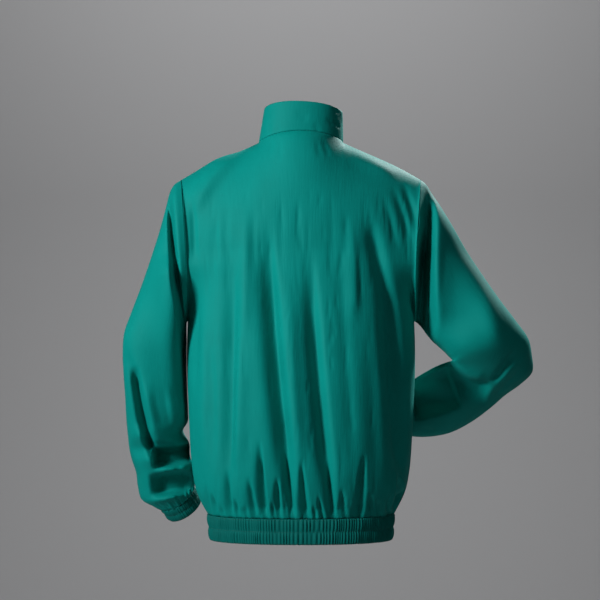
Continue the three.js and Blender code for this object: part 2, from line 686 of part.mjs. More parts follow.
function collarMesh() {
  const outer = collarGrid();
  const normals = gridNormals(outer, false);
  const backColumn = Math.floor(outer[0].length / 2);
  const outwards = normals[1][backColumn].y > 0 ? 1 : -1;
  normals.forEach((row) => row.forEach((normal) => normal.multiplyScalar(outwards)));
  normals[collarRows] = normals[collarRows].map((normal) => flattened(normal, 'z'));
  for (const row of normals) {
    row[0] = flattened(row[0], 'x');
    row[row.length - 1] = flattened(row[row.length - 1], 'x');
  }
  const inner = movedAlong(outer, normals, -collarThickness);
  return wallMesh('collar', outer, inner, false, clothColour, clothRoughness);
}

// The centre-front line from the collar's top to the hem: the places where the zip lies.
function zipLine() {
  const collarEdge = collarGrid().map((row) => row[0]);
  const frontColumn = bodyColumns(zipHalfWidth).slice(-1);
  const frontEdge = bodyPanel(-1, frontColumn, [1]).map((row) => row[0]).slice(1);
  const bandEdge = bandRows.slice(1).map((row) => {
    const front = mix(bandRings.top.front, bandRings.bottom.front, row.along);
    return new THREE.Vector3(0, -front, mix(bandTopZ, bandBottomZ, row.along));
  });
  return [...collarEdge, ...frontEdge, ...bandEdge].map((point) => new THREE.Vector3(0, point.y, point.z));
}

// Along the line, the direction that points out of the jacket.
function zipNormals(line) {
  return line.map((point, number) => {
    const above = line[Math.max(0, number - 1)];
    const below = line[Math.min(line.length - 1, number + 1)];
    return new THREE.Vector3(0, below.z - above.z, above.y - below.y).normalize();
  });
}

function zipTapeMesh(name, side) {
  const line = zipLine();
  const normals = zipNormals(line);
  const edges = [zipSplit / 2, zipHalfWidth - seamGap];
  const layer = (depth) => line.map((point, number) => edges.map((x) => (
    new THREE.Vector3(side * x, point.y, point.z).addScaledVector(normals[number], -depth)
  )));
  return wallMesh(name, layer(0), layer(tapeThickness), false, tapeColour, tapeRoughness);
}

// A flat outline given a thickness, centred on its own plane: the outline's first axis is x and
// its second is z, and the thickness runs along y.
function plateGeometry(outline, hole, thickness) {
  const shape = new THREE.Shape(outline.map(([x, z]) => new THREE.Vector2(x, z)));
  if (hole) {
    shape.holes.push(new THREE.Path(hole.map(([x, z]) => new THREE.Vector2(x, z))));
  }
  const plate = new THREE.ExtrudeGeometry(shape, { depth: thickness, bevelEnabled: false });
  plate.translate(0, 0, -thickness / 2);
  plate.rotateX(Math.PI / 2);
  return plate;
}

function solidFrom(geometry) {
  const bare = geometry.clone();
  bare.deleteAttribute('normal');
  bare.deleteAttribute('uv');
  const merged = mergeVertices(bare, mergeReach);
  const mesh = new wasm.Mesh({
    numProp: 3,
    vertProperties: merged.attributes.position.array,
    triVerts: new Uint32Array(merged.index.array),
  });
  return new wasm.Manifold(mesh);
}

function solidMesh(name, solid, colour, roughness, metalness) {
  const { vertProperties, triVerts } = solid.getMesh();
  const geometry = new THREE.BufferGeometry();
  geometry.setAttribute('position', new THREE.BufferAttribute(vertProperties, 3));
  geometry.setIndex(new THREE.BufferAttribute(triVerts, 1));
  geometry.computeVertexNormals();
  const material = new THREE.MeshStandardMaterial({ color: colour, roughness, metalness });
  const mesh = new THREE.Mesh(geometry, material);
  mesh.name = name;
  return mesh;
}

// The slider: a waisted plate that carries an arch, one solid.
function sliderMesh() {
  const { topHalf, bottomHalf, halfHeight, waistZ, chamfer, thickness } = sliderPlate;
  const outline = [
    [topHalf, waistZ], [topHalf - chamfer, halfHeight], [chamfer - topHalf, halfHeight],
    [-topHalf, waistZ],
    [-bottomHalf, -halfHeight], [bottomHalf, -halfHeight],
  ];
  const plate = plateGeometry(outline, null, thickness);
  plate.translate(0, -sliderOff - thickness / 2, 0);
  const face = sliderOff + thickness;
  const outer = face + sliderArch.reach;
  const inner = outer - sliderArch.bar;
  const high = sliderArch.halfHeight;
  const low = high - sliderArch.bar;
  const root = face - sliderArch.root;
  const corner = sliderArch.corner;
  const profile = [
    [root, -high], [outer - corner, -high], [outer, corner - high], [outer, high - corner],
    [outer - corner, high], [root, high], [root, low], [inner, low], [inner, -low], [root, -low],
  ];
  const arch = plateGeometry(profile, null, sliderArch.halfWidth * 2);
  arch.rotateZ(-Math.PI / 2);
  const slider = solidFrom(plate).add(solidFrom(arch));
  return solidMesh('zip_slider', slider, metalColour, metalRoughness, metalShare);
}

// The pull tab hangs from the arch by the bar above its window. Its origin is the hinge line.
function pullMesh() {
  const { halfWidth, length, thickness, window, windowEnd, tip } = pullTab;
  const top = thickness / 2;
  const outline = [
    [halfWidth, -length + tip], [halfWidth, top - tip / 2], [halfWidth - tip / 2, top],
    [tip / 2 - halfWidth, top], [-halfWidth, top - tip / 2], [-halfWidth, -length + tip],
    [tip - halfWidth, -length], [halfWidth - tip, -length],
  ];
  const hole = [[-window, -top], [window, -top], [window, -windowEnd], [-window, -windowEnd]];
  const tab = solidFrom(plateGeometry(outline, hole, thickness));
  return solidMesh('zip_pull', tab, pullColour, pullRoughness, 0);
}

// The slider and its tab stand on the zip just under the collar's top edge.
function zipHardware() {
  const [top, below] = zipLine();
  const down = new THREE.Vector3().subVectors(below, top).normalize();
  const hardware = new THREE.Group();
  hardware.position.copy(top).addScaledVector(down, sliderBelowTop);
  hardware.rotation.x = Math.atan2(down.y, -down.z);
  const slider = sliderMesh();
  const tab = pullMesh();
  const archInner = sliderArch.halfHeight - sliderArch.bar;
  const faceToArch = sliderArch.reach - sliderArch.bar;
  tab.position.y = -(sliderOff + sliderPlate.thickness + faceToArch / 2);
  tab.position.z = pullTab.gap + pullTab.thickness / 2 - archInner;
  hardware.add(slider, tab);
  return hardware;
}

const jacket = new THREE.Group();
jacket.add(backMesh());
jacket.add(frontMesh(1));
jacket.add(frontMesh(-1));
jacket.add(sleeveMesh('sleeve_left', 1, leftSleeveRings, leftCuff));
jacket.add(sleeveMesh('sleeve_right', -1, rightSleeveRings, rightCuff));
jacket.add(cuffMesh('cuff_left', 1, leftCuff));
jacket.add(cuffMesh('cuff_right', -1, rightCuff));
jacket.add(collarMesh());
jacket.add(hemBandMesh());
jacket.add(zipTapeMesh('zip_tape_left', 1));
jacket.add(zipTapeMesh('zip_tape_right', -1));
jacket.add(zipHardware());
export default jacket;
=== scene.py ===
import bpy
import numpy as np
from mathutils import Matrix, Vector


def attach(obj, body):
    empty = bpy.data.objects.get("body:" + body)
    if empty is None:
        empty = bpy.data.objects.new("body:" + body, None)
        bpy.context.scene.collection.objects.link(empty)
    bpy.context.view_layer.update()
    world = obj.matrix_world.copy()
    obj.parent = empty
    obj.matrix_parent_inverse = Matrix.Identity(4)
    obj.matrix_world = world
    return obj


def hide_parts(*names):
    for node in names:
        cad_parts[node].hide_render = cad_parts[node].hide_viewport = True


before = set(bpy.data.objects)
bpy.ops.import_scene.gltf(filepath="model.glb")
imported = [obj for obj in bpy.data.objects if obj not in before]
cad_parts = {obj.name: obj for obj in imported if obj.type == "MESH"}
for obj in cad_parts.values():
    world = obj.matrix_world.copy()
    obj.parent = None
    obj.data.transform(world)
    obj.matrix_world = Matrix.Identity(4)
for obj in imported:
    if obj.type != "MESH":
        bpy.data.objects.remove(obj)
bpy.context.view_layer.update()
print("frame loaded:", len(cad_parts), "nodes")

# Shapes are worked out in millimetres and made metres when a mesh is built.
mm = 0.001
draw = np.random.default_rng(7)


# The cut of the body: the same sizes as its solids. The last row says over what reach the offset of
# the shoulder seams softens, by what share of the way down it has, and how wide a hair is.
body = {
    "neckHalfWidth": 71, "neckBackDepth": 62, "neckFrontDepth": 82, "neckBackRise": 17, "neckFrontDrop": 48,
    "riseRound": 2, "dropRound": 1.4, "tipX": 200, "tipZ": -62, "crown": 5,
    "underarmX": 190, "underarmZ": -300,
    "armholeBack": 78, "armholeFront": 72, "insetBack": 5, "insetFront": 13,
    "chestBack": 118, "chestFront": 122, "edgeSpread": 2, "ringPower": 2.25,
    "slope": 0.46, "shoulderRound": 40, "neckSpread": 66, "backSwell": 44, "frontSwell": 68,
    "frontSink": 52, "underarmSpread": 8, "underarmFrom": 0.55, "zipHalf": 9.5,
    "softReach": 20, "settledBy": 0.4, "hair": 0.01,
}
ringHeights = [-300, -345, -392, -440, -484, -522, -555, -582, -604, -622.5]
ringHalfWidths = [190, 191.5, 191, 189, 187, 185, 181.5, 176, 167, 157]
ringBacks = [137, 143, 147, 149, 148, 144, 138, 130, 121, 113]
ringFronts = [139, 145, 148, 150, 149, 145, 138, 129, 119, 111]


# Eases from 0 at low to 1 at high: 3s squared minus 2s cubed.
def smoothStep(low, high, value):
    share = np.clip((value - low) / (high - low), 0, 1)
    return share * share * (3 - 2 * share)


# The value that lies a share of the way from the first to the second.
def mix(first, second, share):
    return first + (second - first) * share


# The power of a value's size, with its sign kept.
def signedPower(value, power):
    return np.sign(value) * np.abs(value) ** power


# A smooth curve through a table: cubic stretches whose slopes are the neighbours' mean slope.
def throughTable(places, values, at):
    places, values = np.asarray(places, float), np.asarray(values, float)
    if places[0] > places[-1]:
        places, values = places[::-1], values[::-1]
    slopes = np.gradient(values, places)
    row = np.clip(np.searchsorted(places, at) - 1, 0, len(places) - 2)
    gap = places[row + 1] - places[row]
    share = np.clip((at - places[row]) / gap, 0, 1)
    rise = share * share * (3 - 2 * share)
    return (
        values[row] * (1 - rise) + values[row + 1] * rise
        + gap * share * (1 - share) * (slopes[row] * (1 - share) - slopes[row + 1] * share)
    )


# The depth of a full ring at a fraction of its half width: (1 - across^p)^(1/p).
def ringDepth(across):
    power = body["ringPower"]
    return np.maximum(0, 1 - np.abs(across) ** power) ** (1 / power)


# The neck seam over x: a ring that rises to the back and drops to the front.
def neckSeam(x, facing):
    around = ringDepth(x / body["neckHalfWidth"])
    if facing > 0:
        return around * body["neckBackDepth"], body["neckBackRise"] * around ** body["riseRound"]
    return -around * body["neckFrontDepth"], -body["neckFrontDrop"] * around ** body["dropRound"]


# The armhole: a tall loop from the shoulder tip (angle 0) to the underarm (angle pi).
def armhole(angle, facing):
    inset = body["insetBack"] if facing > 0 else body["insetFront"]
    depth = body["armholeBack"] if facing > 0 else -body["armholeFront"]
    x = (body["tipX"] + body["underarmX"]) / 2 + (body["tipX"] - body["underarmX"]) / 2 * np.cos(angle)
    z = (body["tipZ"] + body["underarmZ"]) / 2 + (body["tipZ"] - body["underarmZ"]) / 2 * np.cos(angle)
    return x - inset * np.sin(angle) ** 2, depth * np.sin(angle), z


# The smooth top of the shoulders under the seams: a sloping crest with a swell at the neck.
def smoothTop(x, facing):
    near = np.exp(-((x / body["neckSpread"]) ** 2))
    crest = np.hypot(body["tipX"], body["shoulderRound"]) - np.hypot(x, body["shoulderRound"])
    y = near * (body["backSwell"] if facing > 0 else -body["frontSwell"])
    return y, body["tipZ"] + body["slope"] * crest - (0 if facing > 0 else body["frontSink"] * near)


# The depth across a row: the full ring, plus the armhole's edge where the row ends. The edge's
# share narrows to the underarm, by a larger power.
def rowDepth(across, edgeY, centreY, angles):
    full = ringDepth(across)
    nearUnderarm = smoothStep(body["underarmFrom"] * np.pi, np.pi, angles)
    spread = body["edgeSpread"] + body["underarmSpread"] * nearUnderarm
    return centreY * full + edgeY * (1 - full) ** spread


# The columns of half a panel from side to centre: a fraction of the half width at the top line,
# and an even one lower down.
def halfColumns(shoulderCount, neckCount, edgeX):
    power = body["ringPower"]
    neckShare = body["neckHalfWidth"] / body["tipX"]
    neckAngle = np.arccos(neckShare ** (power / 2))
    lastAngle = np.arccos((edgeX / body["neckHalfWidth"]) ** (power / 2))
    shoulder = np.cos(np.linspace(0, neckAngle, shoulderCount, endpoint=False)) ** (2 / power)
    onNeck = neckShare * np.maximum(0, np.cos(np.linspace(0, lastAngle, neckCount))) ** (2 / power)
    low = np.concatenate([shoulder, np.linspace(neckShare, edgeX / body["tipX"], neckCount)])
    return np.concatenate([shoulder, onNeck]), low


# Values softened along x: a mean weighted by exp(-(distance/reach)^2), with their mirror image across
# the centre.
def softened(x, values):
    distances = (x[:, None] - x[None, :], x[:, None] + x[None, :])
    near = sum(np.exp(-((distance / body["softReach"]) ** 2)) for distance in distances)
    return near @ values / near.sum(1)


# The body's surface on a grid. Rows above the underarm are a quarter ellipse from the top line to
# the chest and then follow the armhole; rows below it are rings read from the table.
def bodyGrid(facing, shoulderCount, neckCount, upperRows, lowerRows, edgeX):
    across, low = halfColumns(shoulderCount, neckCount, edgeX)
    angles = np.linspace(0, np.pi, upperRows)[:, None]
    edgeX0, edgeY, edgeZ = armhole(angles, facing)
    _, chestY, chestZ = armhole(np.pi / 2, facing)
    out, down = np.sin(angles), 1 - np.cos(angles)
    column = mix(across[None, :], low[None, :], np.where(angles < np.pi / 2, out, 1))
    topX = across * body["tipX"]
    share = np.clip((topX - body["neckHalfWidth"]) / (body["tipX"] - body["neckHalfWidth"]), 0, 1)
    neckY, neckZ = neckSeam(np.minimum(topX, body["neckHalfWidth"]), facing)
    onNeck = topX < body["neckHalfWidth"] + body["hair"]
    topY = np.where(onNeck, neckY, 0)
    seamZ = body["tipZ"] * share + body["crown"] * np.sin(np.pi * share) * share
    topZ = np.where(onNeck, neckZ, seamZ)
    swellY, crestZ = smoothTop(column * body["tipX"], facing)
    centreChest = body["chestBack"] if facing > 0 else -body["chestFront"]
    centreUnder = ringBacks[0] if facing > 0 else -ringFronts[0]
    nearSeam = (1 - out) ** 2
    highY = mix(swellY, rowDepth(column, chestY, centreChest, 0), out)
    highZ = mix(crestZ, chestZ, down)
    topSwell, topCrest = smoothTop(topX, facing)
    offsetY, offsetZ = topY - topSwell, topZ - topCrest
    settled = smoothStep(0, body["settledBy"], out)
    highY = highY + mix(offsetY, softened(topX, offsetY), settled) * nearSeam
    highZ = highZ + mix(offsetZ, softened(topX, offsetZ), settled) * nearSeam
    below = np.maximum(0, -np.cos(angles))
    centre = mix(centreChest, centreUnder, below if facing > 0 else below ** 2 * (2 - below))
    lowY = rowDepth(column, edgeY, centre, angles)
    above = angles <= np.pi / 2
    y = np.where(above, highY, lowY)
    z = np.where(above, highZ, edgeZ * np.ones_like(column))
    upper = np.stack([column * edgeX0, y, z], -1)
    heights = np.linspace(ringHeights[0], ringHeights[-1], lowerRows)[1:, None]
    halfWidth = throughTable(ringHeights, ringHalfWidths, heights)
    depth = facing * throughTable(ringHeights, ringBacks if facing > 0 else ringFronts, heights)
    lower = np.stack([low * halfWidth, depth * ringDepth(low), heights * np.ones_like(low[None, :])], -1)
    grid = np.concatenate([upper, lower])
    if edgeX > 0:
        grid[:, -1, 0] = edgeX
    return grid


# Unit normals of a grid, from the cross product of its two directions, turned to face outwards.
def gridNormals(grid, closed, outwards):
    down = np.gradient(grid, axis=0)
    if closed:
        side = np.roll(grid, -1, 1) - np.roll(grid, 1, 1)
    else:
        side = np.gradient(grid, axis=1)
    normal = np.cross(side, down)
    normal /= np.maximum(np.linalg.norm(normal, axis=-1, keepdims=True), 1e-9)
    return normal if np.sum(normal * outwards) > 0 else -normal


creaseColumns = ("fromX", "fromZ", "midX", "midZ", "toX", "toZ", "depth", "plusWidth", "minusWidth", "fade")
creaseForm = {"fade": 0.4, "steps": 8, "bandZ": -626, "bandWidths": (0.35, 1.1), "longestEnd": 0.3}


# The sum of creases at places seen flat-on. Each crease runs along a bent path; across it the depth
# falls as exp(-(distance/width)^power), with its own width on each side, and along it fades at both
# ends. One that ends at the band widens downwards and doesn't fade there. The plus side is towards
# +X where the path runs down, and below it where the path runs towards -X. A row without a fade has
# the usual one.
def creases(table, x, z, power=2):
    total = np.zeros_like(x)
    steps = creaseForm["steps"]
    share = np.linspace(0, 1, steps + 1)
    for row in table:
        crease = {"fade": creaseForm["fade"], **dict(zip(creaseColumns, row))}
        bendX = 4 * crease["midX"] - 2 * (crease["fromX"] + crease["toX"])
        bendZ = 4 * crease["midZ"] - 2 * (crease["fromZ"] + crease["toZ"])
        pathX = mix(crease["fromX"], crease["toX"], share) + bendX / 2 * share * (1 - share)
        pathZ = mix(crease["fromZ"], crease["toZ"], share) + bendZ / 2 * share * (1 - share)
        best = np.full(x.shape, np.inf)
        side, along = np.zeros_like(x), np.zeros_like(x)
        for step in range(steps):
            stepX, stepZ = pathX[step + 1] - pathX[step], pathZ[step + 1] - pathZ[step]
            length = stepX * stepX + stepZ * stepZ
            place = np.clip(((x - pathX[step]) * stepX + (z - pathZ[step]) * stepZ) / length, 0, 1)
            offX, offZ = x - pathX[step] - place * stepX, z - pathZ[step] - place * stepZ
            distance = np.hypot(offX, offZ)
            closer = distance < best
            best = np.where(closer, distance, best)
            side = np.where(closer, stepX * offZ - stepZ * offX, side)
            along = np.where(closer, (step + place) / steps, along)
        width = np.where(side < 0, crease["minusWidth"], crease["plusWidth"])
        ends = smoothStep(0, crease["fade"], along)
        if crease["toZ"] == creaseForm["bandZ"]:
            width = width * mix(*creaseForm["bandWidths"], along)
        else:
            ends = ends * smoothStep(0, min(crease["fade"], creaseForm["longestEnd"]), 1 - along)
        total += crease["depth"] * ends * np.exp(-((best / width) ** power))
    return total


# The area of a shell's outer side in square metres, for the cut of a sheet.
def gridArea(grid, closed):
    after = np.roll(grid, -1, 1) if closed else grid[:, 1:]
    here = grid if closed else grid[:, :-1]
    across = after[:-1] - here[:-1]
    downwards = here[1:] - here[:-1]
    return float(np.linalg.norm(np.cross(across, downwards), axis=-1).sum()) * mm * mm


# A mesh object from a grid of outer points in millimetres. A second grid a thickness inwards, and
# strips round the open edges, make it one closed shell. Its UV map holds metres along the cloth.
# Its outer area is printed, for the cut of the sheet.
def shellObject(name, outer, inner, closed, material, node):
    rows, columns = outer.shape[:2]
    points = np.concatenate([outer.reshape(-1, 3), inner.reshape(-1, 3)]) * mm
    span = np.arange(columns if closed else columns - 1)
    nextSpan = (span + 1) % columns
    row = np.arange(rows - 1) * columns
    first, after = (row[:, None] + span).ravel(), (row[:, None] + nextSpan).ravel()
    start, last, end = rows * columns, (rows - 1) * columns, row + columns - 1
    quads = [
        (first, after, after + columns, first + columns),
        (first + start, first + columns + start, after + columns + start, after + start),
        (span + start, nextSpan + start, nextSpan, span),
        (last + span, last + nextSpan, last + nextSpan + start, last + span + start),
    ]
    if not closed:
        quads.append((row, row + columns, row + columns + start, row + start))
        quads.append((end + columns, end, end + start, end + columns + start))
    faces = np.concatenate([np.stack(quad, 1) for quad in quads])
    smooth = np.arange(len(faces)) < 2 * len(first)
    corners = points[faces]
    volume = np.sum(corners[:, 0] * np.cross(corners[:, 1], corners[:, 2]))
    volume += np.sum(corners[:, 0] * np.cross(corners[:, 2], corners[:, 3]))
    if volume < 0:
        faces = faces[:, ::-1]
    across = np.linalg.norm(np.diff(outer, axis=1, append=outer[:, :1]), axis=-1).mean(0)
    downwards = np.linalg.norm(np.diff(outer, axis=0), axis=-1).mean(1)
    u = np.concatenate([[0], np.cumsum(across)])[:columns] * mm
    v = np.concatenate([[0], np.cumsum(downwards)]) * mm
    places = np.stack(np.broadcast_arrays(u[None, :], v[:, None]), -1).reshape(-1, 2)
    places = np.concatenate([places, places])
    mesh = bpy.data.meshes.new(name)
    mesh.from_pydata(points, [], faces.tolist())
    layer = mesh.uv_layers.new(name="cloth")
    layer.data.foreach_set("uv", places[faces.ravel()].ravel())
    mesh.polygons.foreach_set("use_smooth", smooth)
    print(name, "made:", round(gridArea(outer, closed), 4), "square metres")
    return addPiece(name, mesh, material, node)


# Puts a finished mesh into the scene on the jacket's body, with its material, slot and replaced node.
def addPiece(name, mesh, material, node):
    mesh.materials.append(material)
    piece = bpy.data.objects.new(name, mesh)
    bpy.context.scene.collection.objects.link(piece)
    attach(piece, "jacket")
    if node:
        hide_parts(node)
    return piece


# Gives each input of a node its value, or a link where it is another node's output.
def setInputs(tree, node, inputs):
    for name, value in inputs.items():
        if isinstance(value, bpy.types.NodeSocket):
            tree.links.new(value, node.inputs[name])
        else:
            node.inputs[name].default_value = value


# A new shader node with its settings and inputs, as its outputs.
def addNode(tree, kind, inputs, **settings):
    node = tree.nodes.new("ShaderNode" + kind)
    for name, value in settings.items():
        setattr(node, name, value)
    setInputs(tree, node, inputs)
    return node.outputs


weaveForm = {"bend": 0.6, "crinkles": (330, 26, 1), "threadHeight": 0.06, "threadTone": 0.35, "patches": 14}
crinkleNoise = {"Scale": 1, "Detail": 3, "Roughness": 0.55, "Distortion": 0.4}


# Woven cloth: thread waves across the piece times thread waves down it, plus stretched noise for the
# crinkles, give its height, and the threads plus soft patches its tone.
def weaveGroup():
    group = bpy.data.node_groups.new("fineWeave", "ShaderNodeTree")
    for direction, names in (("INPUT", ("Threads", "Crinkle")), ("OUTPUT", ("Height", "Tone"))):
        for name in names:
            group.interface.new_socket(name, in_out=direction, socket_type="NodeSocketFloat")
    inputs = group.nodes.new("NodeGroupInput").outputs
    place = addNode(group, "UVMap", {}, uv_map="cloth")["UV"]
    waves = {"Vector": place, "Scale": inputs["Threads"], "Distortion": weaveForm["bend"], "Detail": 1}
    weft, warp = (addNode(group, "TexWave", waves, wave_type="BANDS", bands_direction=direction)["Fac"]
                  for direction in ("X", "Y"))
    crossed = addNode(group, "Math", {0: weft, 1: warp}, operation="MULTIPLY")[0]
    stretched = addNode(group, "Mapping", {"Vector": place, "Scale": weaveForm["crinkles"]})["Vector"]
    fine = addNode(group, "TexNoise", {"Vector": stretched, **crinkleNoise})["Fac"]
    crinkled = addNode(group, "Math", {0: fine, 1: inputs["Crinkle"]}, operation="MULTIPLY")[0]
    patches = addNode(group, "TexNoise", {"Vector": place, "Scale": weaveForm["patches"], "Detail": 4})["Fac"]
    sums = ((weaveForm["threadHeight"], crinkled), (weaveForm["threadTone"], patches))
    height, tone = (addNode(group, "Math", {0: crossed, 1: factor, 2: added}, operation="MULTIPLY_ADD")[0]
                    for factor, added in sums)
    setInputs(group, group.nodes.new("NodeGroupOutput"), {"Height": height, "Tone": tone})
    return group


# A new material with nodes, and its node tree.
def newMaterial(name):
    material = bpy.data.materials.new(name)
    material.use_nodes = True
    return material, material.node_tree


# A look's own inputs on a shader: the tone mixes its two colours and spreads its roughness, and the
# height gives its bump. Other inputs are set as given.
def applyLook(tree, look, tone, height, others):
    colour = addNode(tree, "Mix", {"Factor": tone, "A": look["dark"], "B": look["light"]}, data_type="RGBA")
    low, high = look["roughness"]
    rough = addNode(tree, "MapRange", {"Value": tone, "To Min": low, "To Max": high})
    bump = addNode(tree, "Bump", {"Strength": look["bump"], "Distance": look["bumpDepth"], "Height": height})
    own = {"Base Color": colour["Result"], "Roughness": rough["Result"], "Normal": bump["Normal"]}
    setInputs(tree, tree.nodes["Principled BSDF"], {**own, **others})


clothLook = {
    "dark": (0.0, 0.26, 0.228, 1), "light": (0.0, 0.33, 0.292, 1), "roughness": (0.6, 0.72),
    "sheen": 0.04, "sheenTint": (0.1, 1.0, 0.92, 1), "sheenRoughness": 0.4, "bump": 0.6, "bumpDepth": 0.0012,
    "threads": 620, "crinkle": 0.55, "specular": 0.1,
}
# The hem band and cuffs take a darker colour than the shell cloth: painted shade of their tight gathers.
bandLookPaintedShade = dict(clothLook, dark=(0.0, 0.13, 0.115, 1), light=(0.0, 0.18, 0.16, 1), crinkle=0.5, bump=0.4)
tapeLook = dict(clothLook, dark=(0.0, 0.1, 0.088, 1), light=(0.0, 0.15, 0.13, 1), threads=420,
                crinkle=0.1, bump=0.6, sheen=0.05, roughness=(0.7, 0.85))


# A cloth material: the weave's tone and height, with a faint sheen.
def clothMaterial(name, look, weave):
    material, tree = newMaterial(name)
    sizes = {"Threads": look["threads"], "Crinkle": look["crinkle"]}
    threads = addNode(tree, "Group", sizes, node_tree=weave)
    applyLook(tree, look, threads["Tone"], threads["Height"], {
        "Sheen Weight": look["sheen"], "Sheen Roughness": look["sheenRoughness"],
        "Sheen Tint": look["sheenTint"], "Specular IOR Level": look["specular"]})
    return material


weave = weaveGroup()
shellCloth = clothMaterial("tealNylon", clothLook, weave)
# The cloth of the hem band and cuffs: its darker colour is painted shade of the gathers.
bandClothPaintedShade = clothMaterial("gatheredNylonPaintedShade", bandLookPaintedShade, weave)
tapeCloth = clothMaterial("zipTapeWeave", tapeLook, weave)


# A piece of the shell's cloth: its inner grid lies a thickness inside the outer one.
def clothPiece(name, grid, normals, thickness, closed, node):
    inner = grid - normals * thickness
    return shellObject(name, grid, inner, closed, shellCloth, node)


# Body panels: the rows and columns of their grids, and the cloth's thickness
panel = {"shoulder": 74, "neck": 36, "upper": 88, "lower": 112, "thickness": 0.5}

# The creases seen on the back, as paths in millimetres, +x to the wearer's left
backCreases = [
    # hanging folds
    (112, -140, 117, -400, 122, -604, -14, 14, 10),
    (56, -120, 46, -380, 7, -620, -24, 17, 9, 0.34),
    (-14, -160, -24, -400, -56, -622, -19, 15, 8),
    (-110, -120, -138, -220, -158, -320, -11, 15, 8, 0.3),
    (-146, -240, -162, -410, -178, -590, -19, 18, 9, 0.25),
    (-56, -110, -76, -350, -86, -560, -2.5, 12, 8),
    (-110, -300, -120, -440, -124, -600, -2.5, 14, 12),
    (170, -200, 175, -330, 170, -440, -3, 9, 9),
    (148, -300, 146, -430, 146, -560, -4, 9, 8),
    (89, -100, 91, -240, 93, -340, 3.5, 8, 9),
    (97, -300, 100, -430, 106, -560, 4, 12, 12),
    (24, -200, 17, -380, 0, -560, 6, 12, 12),
    (158, -230, 162, -380, 158, -560, 4, 12, 12),
    (-85, -130, -86, -220, -88, -310, 4, 11, 7),
    # soft folds of the upper back, from the shoulder blades
    (120, -96, 124, -140, 120, -220, -1.6, 7, 5, 0.5),
    (76, -105, 80, -150, 76, -230, -2, 8, 5, 0.5),
    (30, -92, 35, -150, 31, -236, -1.2, 8, 6, 0.5),
    (6, -100, 2, -130, 8, -176, -1, 6, 5, 0.5),
    (-48, -84, -52, -150, -50, -250, -1.2, 8, 6, 0.5),
    (-72, -105, -74, -150, -73, -210, -1.2, 6, 5, 0.5),
    (142, -110, 146, -170, 144, -250, -1.6, 7, 6, 0.5),
    # gathers above the band
    (158, -560, 156, -598, 151, -626, -5, 7, 4, 0.5),
    (148, -580, 144, -606, 138, -626, -8, 7, 4),
    (131, -604, 129, -616, 127, -626, -4, 5, 3),
    (124, -536, 120, -590, 114, -626, -11, 9, 4),
    (109, -586, 105, -608, 99, -626, -7, 6, 3),
    (94, -601, 92, -614, 89, -626, -4, 5, 3),
    (86, -548, 81, -590, 73, -626, -10, 9, 4),
    (67, -486, 64, -566, 57, -626, -14, 11, 4),
    (48, -590, 46, -608, 43, -626, -5, 5, 3),
    (39, -548, 37, -590, 34, -626, -10, 9, 4),
    (26, -506, 18, -572, 11, -626, -12, 11, 4),
    (0, -520, -6, -576, -12, -626, -12, 10, 4),
    (-20, -596, -22, -612, -25, -626, -5, 5, 3),
    (-28, -580, -33, -606, -38, -626, -7, 6, 3),
    (-46, -520, -50, -580, -56, -626, -12, 11, 4),
    (-66, -566, -70, -598, -75, -626, -7, 7, 4),
    (-84, -598, -86, -612, -86, -626, -4, 5, 3),
    (-104, -510, -102, -576, -97, -626, -11, 10, 4),
    (-113, -576, -116, -604, -117, -626, -7, 6, 4),
    (-130, -590, -131, -610, -132, -626, -5, 5, 4),
    (-148, -580, -149, -606, -148, -626, -6, 6, 4),
    (-166, -548, -178, -584, -164, -626, -15, 13, 5),
    # pull folds under the collar and across the shoulders
    (48, 6, 50, -8, 52, -26, -0.8, 4, 3, 0.5),
    (34, 10, 35, -10, 34, -34, -0.9, 4, 3, 0.5),
    (-24, 10, -28, -12, -34, -34, -1.1, 5, 4, 0.5),
    (-34, 8, -40, -12, -48, -32, -1.2, 5, 4, 0.5),
    (92, -12, 150, -56, 182, -128, 9, 28, 11),
    (180, -96, 177, -140, 176, -210, -4, 5, 5),
    (-60, -6, -110, -34, -168, -64, 4, 12, 10),
    (-166, -66, -186, -96, -194, -160, -5, 8, 5, 0.5),
    (-148, -74, -170, -104, -182, -180, -4, 8, 5, 0.5),
    (-130, -84, -150, -120, -160, -190, -2.5, 7, 5, 0.5),
]

